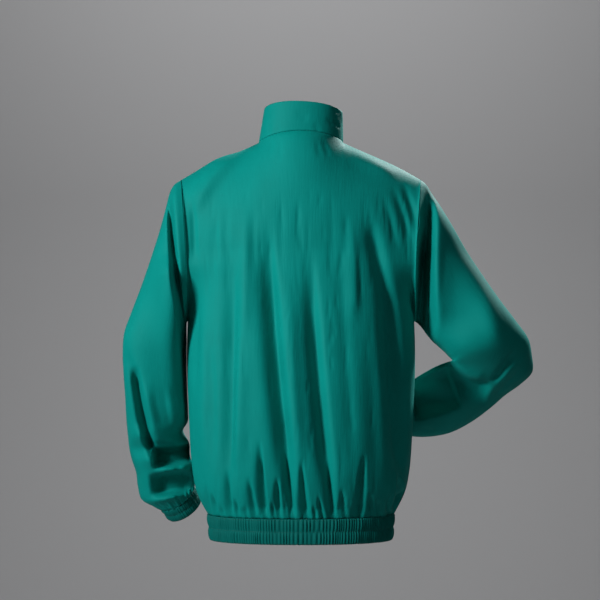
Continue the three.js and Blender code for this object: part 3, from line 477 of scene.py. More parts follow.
# Front panels: the same kind of folds, on both sides of the zip
frontCreases = [
    (58, -120, 50, -380, 42, -612, -10, 12, 17, 0.5),
    (106, -170, 98, -400, 90, -612, -12, 16, 12, 0.45),
    (150, -230, 147, -420, 138, -600, -9, 14, 13),
    (-46, -140, -56, -380, -64, -612, -11, 12, 16, 0.45),
    (-92, -110, -104, -370, -110, -612, -12, 16, 12, 0.45),
    (-148, -250, -152, -420, -148, -600, -8, 12, 12),
    (78, -200, 74, -380, 66, -560, 3, 10, 11),
    (126, -220, 122, -400, 114, -560, 3, 10, 11),
    (-74, -190, -80, -380, -86, -560, 3, 10, 11),
    (-124, -230, -128, -400, -130, -560, 3, 10, 11),
    (168, -560, 168, -590, 164, -626, -5, 6, 7, 0.5),
    (140, -545, 138, -585, 134, -626, -6, 6, 7, 0.6),
    (116, -570, 114, -600, 110, -626, -5, 5, 6, 0.6),
    (92, -530, 88, -580, 84, -626, -6.5, 6, 8, 0.6),
    (66, -560, 64, -590, 60, -626, -6, 6, 6, 0.6),
    (44, -525, 40, -575, 36, -626, -6, 6, 7, 0.6),
    (-42, -550, -40, -590, -38, -626, -6, 6, 6, 0.6),
    (-66, -525, -66, -575, -62, -626, -6.5, 6, 8, 0.6),
    (-90, -565, -88, -595, -86, -626, -5, 5, 6, 0.6),
    (-112, -530, -112, -580, -110, -626, -6.5, 7, 7, 0.6),
    (-138, -560, -137, -590, -134, -626, -6, 6, 6, 0.6),
    (-164, -545, -165, -585, -160, -626, -6, 6, 7, 0.6),
    (120, -36, 150, -66, 178, -116, 3, 12, 16, 0.5),
    (-120, -36, -150, -66, -178, -116, 3, 16, 12, 0.5),
    (150, -90, 168, -130, 176, -190, -4, 8, 8, 0.5),
    (-150, -90, -168, -130, -176, -190, -4, 8, 8, 0.5),
]

# Ranges for the drawn creases: lengths, leans as mean and spread, depths and widths
crinkleForm = {"length": (25, 90), "lean": (0, 3), "depth": (-0.9, -0.25), "width": (1.8, 3.4),
               "midLean": 0.4}
gatherForm = {"length": (10, 44), "lean": (1.5, 2), "depth": (-4.5, -1.2), "width": (3.4, 5),
              "midLean": 0.6, "stray": (-4, 4), "minusShare": 0.7}
drawnFade = 0.5


# The length, lean, depth and width of drawn creases, each within its range.
def drawnForms(form, count):
    length = draw.uniform(*form["length"], count)
    lean = draw.normal(*form["lean"], count)
    return length, lean, draw.uniform(*form["depth"], count), draw.uniform(*form["width"], count)


# Fine upright crinkles: short shallow creases at drawn places, as rows of the same table.
def fineCrinkles(count, reach, top, bottom):
    x = draw.uniform(-reach, reach, count)
    z = draw.uniform(bottom, top, count)
    length, lean, depth, width = drawnForms(crinkleForm, count)
    path = [x, z, x + lean * crinkleForm["midLean"], z - length / 2, x + lean, z - length]
    return np.stack(path + [depth, width, width, np.full(count, drawnFade)], 1).tolist()


# Small gathers that end at the band, at drawn places, as rows of the same table.
def smallGathers(count, reach):
    x = np.linspace(-reach, reach, count) + draw.uniform(*gatherForm["stray"], count)
    length, lean, depth, width = drawnForms(gatherForm, count)
    low = np.full(count, float(creaseForm["bandZ"]))
    path = [x + lean, low + length, x + lean * gatherForm["midLean"], low + length / 2, x, low]
    widths = [width, width * gatherForm["minusShare"]]
    return np.stack(path + [depth] + widths + [np.full(count, drawnFade)], 1).tolist()


# Where a panel's creases ease off: heights, distances from the side seam's plane and from the zip's
# edge, and the shares that stay at the side seams and go above the band
panelEase = {
    "level": (-90, -170), "side": (0, 14), "sideKept": 0.1, "underarm": (-290, -320), "shoulder": (-110, -80),
    "band": (-600, -622), "bandLoss": 0.55, "zip": (body["zipHalf"] + 3, body["zipHalf"] + 26),
}


# A body panel with its creases: moved along the normals, which turn level below the shoulders, by
# their sum, eased to nothing at the zip and mostly at the side and shoulder seams and the band.
def creasedPanel(grid, facing, table, zipEase):
    ease = panelEase
    normals = gridNormals(grid, False, np.array([0, facing, 0]))
    x, z = grid[..., 0], grid[..., 2]
    level = normals * np.array([1, 1, 0])
    level /= np.maximum(np.linalg.norm(level, axis=-1, keepdims=True), 1e-6)
    normals = mix(normals, level, smoothStep(*ease["level"], z)[..., None])
    normals /= np.linalg.norm(normals, axis=-1, keepdims=True)
    sideEase = smoothStep(*ease["side"], np.abs(grid[..., 1])) * (1 - ease["sideKept"]) + ease["sideKept"]
    seamReach = np.maximum(smoothStep(*ease["underarm"], z), smoothStep(*ease["shoulder"], z))
    moved = creases(table, x, z) * mix(1, sideEase, seamReach)
    moved = moved * (1 - ease["bandLoss"] * smoothStep(*ease["band"], z))
    if zipEase:
        moved = moved * smoothStep(*ease["zip"], np.abs(x))
    return grid + normals * moved[..., None], normals


half = bodyGrid(1, panel["shoulder"], panel["neck"], panel["upper"], panel["lower"], 0)
mirrored = half[:, -2::-1] * np.array([-1, 1, 1])
backGrid = np.concatenate([half, mirrored], 1)
backTable = backCreases + fineCrinkles(110, 185, -70, -330) + fineCrinkles(50, 180, -330, -560)
backTable += smallGathers(30, 150)
backGrid, backNormals = creasedPanel(backGrid, 1, backTable, False)
back = clothPiece("backCloth", backGrid, backNormals, panel["thickness"], False, "back")

fronts, frontGrids = [], []
frontTable = frontCreases + fineCrinkles(90, 185, -90, -560) + smallGathers(30, 150)
for side, word in ((1, "left"), (-1, "right")):
    grid = bodyGrid(-1, panel["shoulder"], panel["neck"] - 2, panel["upper"], panel["lower"], body["zipHalf"])
    grid, normals = creasedPanel(grid * np.array([side, 1, 1]), -1, frontTable, True)
    name = "front" + word.title() + "Cloth"
    fronts.append(clothPiece(name, grid, normals, panel["thickness"], False, "front_" + word))
    frontGrids.append(grid)

# Sleeves: a ring to each row, as on the solids. The right sleeve's rings have no sink.
sleeveColumns = ("outerX", "outerZ", "innerX", "innerZ", "y", "back", "front", "turn", "sink")
leftRings = [
    (212, -70, 192, -302, 2, 79, 72, 0, 0), (220, -84, 192.5, -306, 4, 66, 73, 0, 6),
    (226, -108, 193, -313, 7, 68, 75, 0, 14), (237, -149, 193, -323, 9, 68, 75, 0, 22),
    (251, -193, 193, -336, 11, 63, 74, 0, 30), (266, -237, 193.5, -352, 12, 58, 73, 0, 36),
    (283, -282, 193.5, -370, 12, 55, 72, 0, 40), (296, -318, 193.5, -388, 10, 54, 71, 0, 40),
    (299, -352, 193, -407, 6, 54, 70, 0, 40), (298, -389, 192.5, -428, 0, 56, 68, 0, 36),
    (296, -426, 191.5, -449, -10, 59, 65, 0, 26), (295, -462, 192, -470, -22, 58, 62, 0, 20),
    (293, -492, 200, -486, -33, 60, 60, 0, 8), (291, -516, 190, -506, -40, 42, 52, 0, 0),
    (287, -536, 189, -527, -46, 58, 58, 4, 0), (280, -558, 184, -545, -51, 60, 58, 8, 0),
    (277, -581, 181, -561, -55, 56, 54, 12, 0), (269, -606, 182, -574, -58, 48, 46, 14, 0),
]
rightRings = [
    (210, -70, 196, -303, 0, 50, 72, 0), (219, -85, 203, -311, 3, 60, 72, 0),
    (231, -103, 210, -321, 6, 84, 73, 0), (252, -137, 220, -333, 8, 87, 74, 0),
    (277, -181, 230, -342, 8, 87, 75, 0), (304, -222, 239, -350, 8, 85, 75, 0),
    (332, -262, 246, -357, 8, 81, 73, 0), (359, -297, 251, -362, 6, 76, 71, 2),
    (381, -328, 254, -365, 2, 71, 68, 8), (387, -358, 255, -366, -5, 66, 66, 16),
    (386, -386, 254, -367, -15, 60, 63, 25), (365, -408, 250, -369, -29, 56, 60, 32),
    (338, -428, 242, -373, -46, 53, 57, 38), (311, -453, 231, -379, -65, 50, 54, 42),
    (282, -476, 217, -388, -86, 47, 52, 44), (250, -494, 203, -398, -107, 45, 50, 45),
    (216, -501, 190, -407, -127, 44, 48, 45), (187, -500, 173, -415, -146, 42, 45, 45),
    (164, -497, 156, -426, -162, 38, 40, 45),
]
cuffs = {
    "left": {"centre": (212, -62, -600), "along": (-0.5, -0.42, -0.757)},
    "right": {"centre": (140, -181, -462), "along": (-0.68, -0.66, -0.32)},
    "radius": 33, "length": 26, "thickness": 1.2, "gathers": 42, "height": 1.5, "bulge": 0.8,
    "flatShare": 0.35, "around": 400, "rows": 17, "seeds": (2.0, 2.5),
}
sleeve = {"around": 180, "perRing": 8, "thickness": 0.5, "gap": 0.3, "wristExtra": 0.5, "roundness": 0.92,
          "facing": 0.35, "hollowPower": 6, "start": 0.03, "end": 0.985}
wristGathers = {"from": 0.955, "full": 0.992, "easeFrom": 0.99, "easeShare": 0.5, "height": 1.4, "count": 23,
                "wander": 1.3, "wanderCount": 3, "fineHeight": 0.5, "fineCount": 37, "fineShift": 2}

# Creases of the sleeves as seen from behind, and of their hidden front sides
leftBackCreases = [
    # the deep fold down the back of the arm
    (221, -88, 214, -170, 205, -272, -20, 4, 5, 0.3),
    (212, -160, 208, -180, 202, -206, -2.5, 3, 3, 0.5),
    # the edge of the recess beside the body
    (215, -180, 208, -330, 187, -496, 28, 30, 5, 0.14),
    # elbow and forearm
    (276, -370, 268, -456, 248, -520, -28, 9, 5, 0.2),
    (294, -344, 284, -368, 273, -400, -5, 9, 6, 0.5),
    (262, -390, 252, -440, 240, -500, 5, 5, 10),
    (252, -496, 228, -503, 200, -501, 6, 5, 8, 0.3),
    (236, -547, 222, -548, 206, -546, 5, 3, 3, 0.3),
    (272, -466, 264, -512, 246, -552, 10, 8, 6, 0.3),
    (202, -530, 195, -545, 188, -562, 5, 8, 8),
    (230, -400, 226, -440, 218, -484, -2.5, 8, 6, 0.5),
    (214, -396, 210, -430, 203, -466, -2.5, 7, 6, 0.5),
    (246, -410, 240, -440, 232, -480, -1.5, 8, 7, 0.5),
    (270, -606, 232, -602, 198, -588, 6, 6, 5),
    (276, -470, 270, -510, 258, -548, 4, 9, 7, 0.5),
]
# Hollows with a steep wall and a flat floor: the recess under the elbow and the one above the cuff
leftHollows = [
    (250, -528, 222, -529, 180, -520, -42, 16, 14, 0.1),
    (260, -576, 222, -573, 174, -566, -34, 20, 17, 0.36),
]
leftFrontCreases = [
    (262, -330, 240, -352, 214, -362, -9, 10, 8),
    (276, -372, 246, -392, 210, -398, -8, 9, 10),
    (284, -420, 258, -436, 214, -440, -6, 10, 8),
    (252, -520, 228, -528, 198, -522, -10, 9, 6, 0.3),
    (256, -566, 222, -572, 186, -560, -7, 9, 9, 0.3),
    (232, -150, 238, -220, 244, -300, -4, 14, 14, 0.5),
]
rightBackCreases = [
    # the dark recess between the armhole and the hanging edge, then that edge
    (-213, -96, -211, -150, -208, -215, -14, 7, 6, 0.3),
    (-210, -140, -206, -240, -219, -346, -40, 20, 6, 0.3),
    (-219, -88, -221, -210, -230, -345, 3, 6, 9, 0.25),
    (-240, -118, -264, -250, -258, -350, -17, 32, 44, 0.3),
    (-300, -230, -312, -280, -322, -340, 3, 20, 20, 0.5),
    # the hanging edge over the forearm
    (-226, -336, -268, -414, -318, -404, -30, 24, 4, 0.16),
    (-318, -404, -334, -376, -356, -346, -9, 9, 4, 0.3),
    (-234, -342, -274, -398, -312, -396, 5, 4, 9, 0.25),
    (-360, -366, -334, -402, -308, -436, 5, 8, 8),
    (-376, -366, -350, -404, -324, -428, -5, 7, 6),
    (-196, -432, -226, -440, -262, -446, -6, 12, 12),
    (-386, -340, -376, -362, -352, -384, 3, 8, 8, 0.5),
    (-205, -482, -216, -490, -232, -488, -3, 5, 5),
    (-300, -250, -318, -300, -330, -350, 3, 18, 18, 0.5),
]
rightHollows = [
    (-186, -432, -222, -424, -262, -408, -30, 34, 30, 0.1),
]
rightFrontCreases = [
    (-262, -350, -292, -352, -330, -340, -10, 9, 9),
    (-258, -340, -282, -322, -318, -300, -7, 9, 9),
    (-264, -378, -300, -396, -346, -400, -8, 9, 9),
    (-206, -420, -226, -436, -250, -470, -5, 8, 8),
    (-176, -424, -186, -450, -204, -484, -4, 7, 7),
    (-232, -150, -262, -220, -286, -300, -4, 14, 14, 0.5),
]


# A round ring square to the wrist: centre + radius (outer cos a + back sin a).
def wristRing(place, side, distance, radius, angles):
    axis = Vector(place["along"]).normalized()
    back = (Vector((0, 1, 0)) - axis * axis.y).normalized()
    outer = back.cross(axis)
    outer = -outer if outer.x < 0 else outer
    centre = np.array(Vector(place["centre"]) + axis * distance)
    ring = centre + radius[..., None] * (
        np.cos(angles)[:, None] * np.array(outer) + np.sin(angles)[:, None] * np.array(back))
    return ring * np.array([side, 1, 1])


# One ring of a sleeve: an ellipse through its outer and inner points, turned with the arm. Its inner
# side sinks towards the front.
def armRing(row, side, angles):
    ring = dict(zip(sleeveColumns, row))
    turn = np.radians(ring["turn"])
    out = signedPower(np.sin(angles), sleeve["roundness"])
    out = out * np.where(np.sin(angles) > 0, ring["back"], ring["front"])
    x = (ring["outerX"] + ring["innerX"]) / 2 + (ring["outerX"] - ring["innerX"]) / 2 * np.cos(angles)
    z = (ring["outerZ"] + ring["innerZ"]) / 2 + (ring["outerZ"] - ring["innerZ"]) / 2 * np.cos(angles)
    y = ring["y"] + out * np.cos(turn) - ring.get("sink", 0) * (0.5 - 0.5 * np.cos(angles)) ** 2
    return np.stack([side * (x - out * np.sin(turn)), y, z], -1)


# Rows between key rings, each point on a cubic through its four neighbours.
def ringsBetween(rings, steps):
    padded = np.concatenate([2 * rings[:1] - rings[1:2], rings, 2 * rings[-1:] - rings[-2:-1]])
    made = []
    for number in range(len(rings) - 1):
        before, here, after, beyond = padded[number:number + 4]
        share = np.linspace(0, 1, steps, endpoint=False)[:, None, None]
        made.append(0.5 * (2 * here + (after - before) * share
                           + (2 * before - 5 * here + 4 * after - beyond) * share ** 2
                           + (3 * here - before - 3 * after + beyond) * share ** 3))
    return np.concatenate(made + [rings[-1:]])


# A sleeve's grid: rings from the armhole over the table's rows to the cuff. Creases move it along y, by
# how far it faces backwards or forwards, and the gathers at the wrist along its normals.
def sleeveGrid(side, rows, place, backTable, frontTable, hollows):
    angles = np.linspace(0, 2 * np.pi, sleeve["around"], endpoint=False)
    backLoop, frontLoop = armhole(angles, 1), armhole(2 * np.pi - angles, -1)
    loop = [np.where(angles <= np.pi, b, f) for b, f in zip(backLoop, frontLoop)]
    first = np.stack([side * (loop[0] + sleeve["gap"]), loop[1], loop[2]], -1)
    wrist = np.full(len(angles), cuffs["radius"] + sleeve["wristExtra"])
    last = wristRing(place, side, -sleeve["gap"], wrist, angles)
    rings = np.stack([first] + [armRing(row, side, angles) for row in rows] + [last])
    grid = ringsBetween(rings, sleeve["perRing"])
    normals = gridNormals(grid, True, grid - grid.mean(1, keepdims=True))
    x, z = grid[..., 0], grid[..., 2]
    behind, before = (smoothStep(0, sleeve["facing"], facing * normals[..., 1]) for facing in (1, -1))
    level = creases(backTable, x, z) * behind - creases(frontTable, x, z) * before
    level += creases(hollows, x, z, sleeve["hollowPower"]) * behind
    along = np.arange(len(grid))[:, None] / (len(grid) - 1)
    grid[..., 1] += level * smoothStep(0, sleeve["start"], along) * smoothStep(1, sleeve["end"], along)
    normals = gridNormals(grid, True, grid - grid.mean(1, keepdims=True))
    form = wristGathers
    gathered = smoothStep(form["from"], form["full"], along)
    gathered = gathered * (1 - form["easeShare"] * smoothStep(form["easeFrom"], 1, along))
    wave = np.sin(angles * form["count"] + form["wander"] * np.sin(angles * form["wanderCount"]))
    wave = wave + form["fineHeight"] * np.sin(angles * form["fineCount"] + form["fineShift"])
    grid = grid + normals * (gathered * wave * form["height"])[..., None]
    return grid, gridNormals(grid, True, grid - grid.mean(1, keepdims=True))


for side, word, rows, backTable, frontTable, hollows in (
    (1, "left", leftRings, leftBackCreases, leftFrontCreases, leftHollows),
    (-1, "right", rightRings, rightBackCreases, rightFrontCreases, rightHollows),
):
    grid, normals = sleeveGrid(side, rows, cuffs[word], backTable, frontTable, hollows)
    name = "sleeve" + word.title() + "Cloth"
    clothPiece(name, grid, normals, sleeve["thickness"], True, "sleeve_" + word)

# Collar: rows from the neck seam to the top edge, which leans forwards
collar = {"halfWidth": 66, "back": 55, "front": 66, "backZ": 66, "sideZ": 51, "frontZ": 14, "shiftX": -4,
          "lean": 0.05, "gap": 0.1, "zipReach": 30, "edgeRound": 1.2, "swell": 1.5, "dentFacing": 0.3,
          "rows": 30, "around": 90, "thickness": 2.2}


# The collar's grid: straight rows from the neck seam up to a narrower ring, whose height runs from the
# sides to the back or front with the ring's depth, and which swells outwards halfway up.
def collarGrid():
    edge, wide, power = body["zipHalf"], body["neckHalfWidth"], body["ringPower"]
    lastAngle = np.arccos((edge / wide) ** (power / 2))
    quarter = np.linspace(0, 1, collar["around"])
    x = wide * np.maximum(0, np.cos(quarter * np.pi / 2)) ** (2 / power)
    frontX = wide * np.cos(quarter * lastAngle) ** (2 / power)
    seamX = np.concatenate([frontX[::-1], x[1:], -x[-2::-1], -frontX[1:]])
    facing = np.concatenate([-np.ones(collar["around"]), np.ones(2 * collar["around"] - 2),
                             -np.ones(collar["around"] - 1)])
    around = ringDepth(seamX / wide)
    backY, backZ = neckSeam(seamX, 1)
    frontY, frontZ = neckSeam(seamX, -1)
    seamY, seamZ = np.where(facing > 0, backY, frontY), np.where(facing > 0, backZ, frontZ) + collar["gap"]
    atZip = (facing < 0) * smoothStep(collar["zipReach"], edge, np.abs(seamX))
    topX = seamX * mix(collar["halfWidth"] / wide, 1, atZip) + collar["shiftX"] * (1 - atZip)
    topY = np.where(facing > 0, around * collar["back"], -around * collar["front"])
    topZ = np.where(facing > 0, collar["backZ"], collar["frontZ"])
    topZ = mix(collar["sideZ"], topZ, around ** collar["edgeRound"])
    topZ = topZ + collar["lean"] * seamX * (1 - atZip)
    up = np.linspace(1, 0, collar["rows"])[:, None]
    swell = collar["swell"] * np.sin(np.pi * up) * facing * around
    return np.stack([mix(seamX, topX, up), mix(seamY, topY, up) + swell, mix(seamZ, topZ, up)], -1)


collarCreases = [
    (-52, 60, -58, 54, -64, 46, -1.6, 3, 2.5), (-54, 36, -60, 30, -66, 21, -1.8, 3, 2.5),
    (-40, 40, -48, 34, -56, 26, -0.8, 4, 4, 0.5), (-20, 30, -26, 24, -30, 10, -0.7, 5, 5, 0.5),
    (52, 34, 54, 24, 52, 10, -0.7, 4, 4, 0.5), (36, 30, 38, 22, 38, 10, -0.6, 4, 4, 0.5),
    (12, 50, 0, 40, -14, 34, -0.8, 7, 7, 0.5), (-66, 56, -69, 46, -70, 30, 1.2, 3, 3),
]
collarOuter = collarGrid()
collarNormals = gridNormals(collarOuter, False, collarOuter * np.array([1, 1, 0]))
collarDents = creases(collarCreases, collarOuter[..., 0], collarOuter[..., 2])
collarDents = collarDents * smoothStep(0, collar["dentFacing"], collarNormals[..., 1])
collarOuter = collarOuter + collarNormals * collarDents[..., None]
collarPiece = clothPiece("collarCloth", collarOuter, collarNormals, collar["thickness"], False, "collar")

# Hem band: gathered over elastic in two stitched channels, which change places at half its height
hem = {"topZ": -622.8, "bottomZ": -665, "top": (156, 112.5, 110.5), "bottom": (152.5, 110, 108),
       "gathers": 186, "height": 2.7, "bulge": 0.8, "flatShare": 0.4, "seeds": (1.0, 1.6),
       "change": (0.42, 0.58), "edgeWave": 0.5, "edgeFrom": 0.9, "inside": 0.6, "columns": 1160, "rows": 21}

# The uneven gathers: height, count and shift of each part of the wander, the height's own waves, and
# the power that narrows the hollows
gatherWander = ((2.2, 41, 1), (1.7, 97, 2), (1, 233, 1))
gatherSize = {"mean": 0.68, "spread": 0.32, "count": 190, "shift": 3, "slowCount": 71, "power": 0.8}
channelPower = 0.7


# Uneven gathers round a band: a wave whose phase wanders, sharpened so that its hollows are narrow.
def gatherWave(share, count, seed):
    wander = sum(height * np.sin(share * parts + shift * seed) for height, parts, shift in gatherWander)
    wave = 0.5 + 0.5 * np.sin(2 * np.pi * count * share + wander)
    uneven = gatherSize["spread"] * np.sin(share * gatherSize["count"] + gatherSize["shift"] * seed)
    size = gatherSize["mean"] + uneven * np.sin(share * gatherSize["slowCount"])
    return size * wave ** gatherSize["power"]


# How far a gathered band stands out: its waves, lower between the channels, and the channels' two half
# sine arches over its height.
def bandRelief(form, wave, along):
    bulge = np.abs(np.sin(2 * np.pi * along)) ** channelPower
    flat = form["flatShare"]
    return form["height"] * wave * (flat + (1 - flat) * bulge) + form["bulge"] * bulge


# The hem band's outer and inner grids: rings like the body's from zip edge to zip edge, narrower
# downwards, moved out along their normals by the band's relief.
def hemBandGrid():
    share = np.linspace(0, 1, hem["columns"])
    along = np.linspace(0, 1, hem["rows"])[:, None]
    halfWidth, back, front = (mix(t, b, along) for t, b in zip(hem["top"], hem["bottom"]))
    power = body["ringPower"]
    start = np.arccos((body["zipHalf"] / halfWidth) ** (power / 2))
    angle = mix(-start, np.pi + start, share[None, :])
    cosine, sine = signedPower(np.cos(angle), 2 / power), signedPower(np.sin(angle), 2 / power)
    x, y = halfWidth * cosine, np.where(sine > 0, back, front) * sine
    z = mix(hem["topZ"], hem["bottomZ"], along) + 0 * x
    normals = np.stack([x / halfWidth ** 2, y / back ** 2, 0 * x], -1)
    normals /= np.linalg.norm(normals, axis=-1, keepdims=True)
    upper, lower = (gatherWave(share, hem["gathers"], seed) for seed in hem["seeds"])
    wave = mix(upper, lower, smoothStep(*hem["change"], along))
    z = z + hem["edgeWave"] * (wave - 0.5) * smoothStep(hem["edgeFrom"], 1, along)
    base = np.stack([x, y, z], -1)
    return base + normals * bandRelief(hem, wave, along)[..., None], base - normals * hem["inside"]


hemOuter, hemInner = hemBandGrid()
# The band's darker colour is painted shade of its gathers.
hemPiece = shellObject("hemBandCloth", hemOuter, hemInner, False, bandClothPaintedShade, "hem_band")


# A cuff's outer and inner grids: round rings down the wrist, moved out by the band's relief.
def cuffGrid(place, side):
    angles = np.linspace(0, 2 * np.pi, cuffs["around"], endpoint=False)
    rows, inner = [], []
    insideRadius = np.full(len(angles), cuffs["radius"] - cuffs["thickness"])
    for along in np.linspace(0, 1, cuffs["rows"]):
        wave = gatherWave(angles / (2 * np.pi), cuffs["gathers"], cuffs["seeds"][int(along >= 0.5)])
        radius = cuffs["radius"] + bandRelief(cuffs, wave, along)
        rows.append(wristRing(place, side, along * cuffs["length"], radius, angles))
        inner.append(wristRing(place, side, along * cuffs["length"], insideRadius, angles))
    return np.stack(rows), np.stack(inner)


cuffPieces, cuffGrids = [], []
for side, word in ((1, "left"), (-1, "right")):
    outer, inner = cuffGrid(cuffs[word], side)
    cuffGrids.append(outer)
    # The cuff's darker colour is painted shade of its gathers.
    cuffPieces.append(shellObject("cuff" + word.title() + "Cloth", outer, inner, True, bandClothPaintedShade,
                                  "cuff_" + word))


# A mesh of small tapered blocks, one at each place: each runs half a length both ways along its
# first axis and half a width along its second, and its top is drawn in by a share.
def blockMesh(name, places, along, across, out, size):
    turns = np.array([(-1, -1), (1, -1), (1, 1), (-1, 1)])
    levels = []
    for height, share in ((size["base"], 1), (size["shoulder"], 1), (size["top"], size["topShare"])):
        levels.append(
            places[:, None] + along[:, None] * turns[:, :1] * size["halfLength"] * share
            + across[:, None] * turns[:, 1:] * size["halfWidth"] * share + out[:, None] * height)
    points = np.stack(levels, 1).reshape(-1, 3) * mm
    corner = np.arange(4)
    after = (corner + 1) % 4
    wall = np.stack([corner, after, after + 4, corner + 4], 1)
    block = np.concatenate([wall, wall + 4, np.array([[8, 9, 10, 11], [3, 2, 1, 0]])])
    if np.dot(np.cross(along[0], across[0]), out[0]) < 0:
        block = block[:, ::-1]
    faces = (block[None] + 12 * np.arange(len(places))[:, None, None]).reshape(-1, 4)
    mesh = bpy.data.meshes.new(name)
    mesh.from_pydata(points, [], faces.tolist())
    return mesh


# A hard material in its object's own places: patches and fine scratches vary its tone and roughness.
def hardMaterial(name, look):
    material, tree = newMaterial(name)
    place = addNode(tree, "TexCoord", {})["Object"]
    stretched = addNode(tree, "Mapping", {"Vector": place, "Scale": look["stretch"]})["Vector"]
    noise = {"Vector": stretched, "Scale": look["scale"], "Detail": look["detail"]}
    grain = addNode(tree, "TexNoise", noise)["Fac"]
    applyLook(tree, look, grain, grain, {"Metallic": look["metal"]})
    return material


hardLook = {"metal": 0.0, "bumpDepth": 0.0002, "stretch": (1, 1, 1), "detail": 6}
hardLooks = {
    "satinMetal": {"dark": (0.42, 0.43, 0.44, 1), "light": (0.66, 0.68, 0.69, 1), "roughness": (0.26, 0.46),
                   "metal": 0.95, "bump": 0.25, "stretch": (1, 1, 0.12), "scale": 2600},
    "mouldedPull": {"dark": (0.018, 0.022, 0.022, 1), "light": (0.04, 0.05, 0.05, 1),
                    "roughness": (0.42, 0.62), "bump": 0.35, "scale": 1800},
    "mouldedTeeth": {"dark": (0.0, 0.075, 0.066, 1), "light": (0.0, 0.12, 0.105, 1), "roughness": (0.3, 0.5),
                     "bump": 0.2, "scale": 1500},
    "sewingThread": {"dark": (0.0, 0.1, 0.088, 1), "light": (0.0, 0.17, 0.15, 1), "roughness": (0.55, 0.8),
                     "bump": 0.6, "scale": 5200},
}
metal, pullPlastic, toothPlastic, thread = (
    hardMaterial(name, {**hardLook, **look}) for name, look in hardLooks.items())

# Zip: two woven tapes down the centre front, each with a row of moulded teeth
zipParts = {"tapeInner": 0.15, "tapeOuter": 9.2, "tapeColumns": 12, "tapeRows": 240, "tapeThickness": 1.1,
            "tapeSink": 0.1, "bandPoints": 12, "toothPitch": 3.2, "toothCentre": 0.75, "toothEnds": 4}
toothSize = {"halfLength": 1.75, "halfWidth": 0.66, "base": -0.4, "shoulder": 0.9, "top": 1.3,
             "topShare": 0.8}


# The centre-front line, read evenly by its length from the edges of collar, front and band, with its
# direction downwards and the direction out of the jacket.
def zipLine(count):
    along = np.linspace(0, 1, zipParts["bandPoints"])
    bandY = -mix(hem["top"][2], hem["bottom"][2], along)
    band = np.stack([0 * along, bandY, mix(hem["topZ"], hem["bottomZ"], along)], -1)
    line = np.concatenate([collarOuter[:, 0], frontGrids[0][1:, -1], band]) * np.array([0, 1, 1])
    lengths = np.concatenate([[0], np.cumsum(np.linalg.norm(np.diff(line, axis=0), axis=1))])
    at = np.linspace(0, lengths[-1], count)
    points = np.stack([np.interp(at, lengths, line[:, axis]) for axis in range(3)], -1)
    down = np.gradient(points, axis=0)
    down /= np.linalg.norm(down, axis=1, keepdims=True)
    out = np.stack([0 * at, down[:, 2], -down[:, 1]], -1)
    return points, down, out, lengths[-1]


linePoints, _, lineOut, zipLength = zipLine(zipParts["tapeRows"])
toothPoints, toothDown, toothOut, _ = zipLine(2 * int(zipLength / zipParts["toothPitch"]))
tapes, teeth = [], []
for side, word in ((1, "left"), (-1, "right")):
    across = side * np.linspace(zipParts["tapeInner"], zipParts["tapeOuter"], zipParts["tapeColumns"])
    outer = linePoints[:, None] + across[None, :, None] * np.array([1, 0, 0])
    outer = outer - zipParts["tapeSink"] * lineOut[:, None]
    inner = outer - lineOut[:, None] * zipParts["tapeThickness"]
    tapes.append(shellObject("zipTape" + word.title(), outer, inner, False, tapeCloth,
                             "zip_tape_" + word))
    chosen = slice(zipParts["toothEnds"] + (side > 0), -zipParts["toothEnds"], 2)
    places = toothPoints[chosen] + np.array([side * zipParts["toothCentre"], 0, 0])
    sideways = np.broadcast_to(np.array([1.0, 0, 0]), places.shape)
    name = "zipTeeth" + word.title()
    mesh = blockMesh(name, places, sideways, toothDown[chosen], toothOut[chosen], toothSize)
    teeth.append(addPiece(name, mesh, toothPlastic, None))
print("zip made:", len(places), "teeth a side,", round(zipLength), "mm long")

# The slider and its pull keep their solids' shape, with worn edges rounded
hardware = {"zip_slider": {"material": metal, "edge": 0.22},
            "zip_pull": {"material": pullPlastic, "edge": 0.25}}
rounding = {"segments": 3, "fromAngle": 30}
for node, finish in hardware.items():
    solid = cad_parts[node]
    solid.material_slots[0].material = finish["material"]
    rounded = solid.modifiers.new("roundedEdges", "BEVEL")
    rounded.width = finish["edge"] * mm
    rounded.segments = rounding["segments"]
    rounded.limit_method = "ANGLE"
    rounded.angle_limit = np.radians(rounding["fromAngle"])

# Stitches: short raised threads, along rows of the band, the cuffs and the fronts beside the zip
stitchSize = {"halfLength": 1.25, "halfWidth": 0.3, "base": -0.3, "shoulder": 0.16, "top": 0.34,
              "topShare": 0.7}
stitchRows = {"besideZip": 15.5, "bandAlong": (0.03, 0.5, 0.95)}
stitchPicks = {"band": slice(4, -4, 5), "cuff": slice(0, None, 7), "front": slice(4, -2, 1)}

# One mesh of stitches from places along a surface: each lies along the row, square to the normal.
def stitches(name, places, along, out):
    along = along / np.linalg.norm(along, axis=1, keepdims=True)
    across = np.cross(out, along)
    mesh = blockMesh(name, places, along, across, out, stitchSize)
    return addPiece(name, mesh, thread, None)


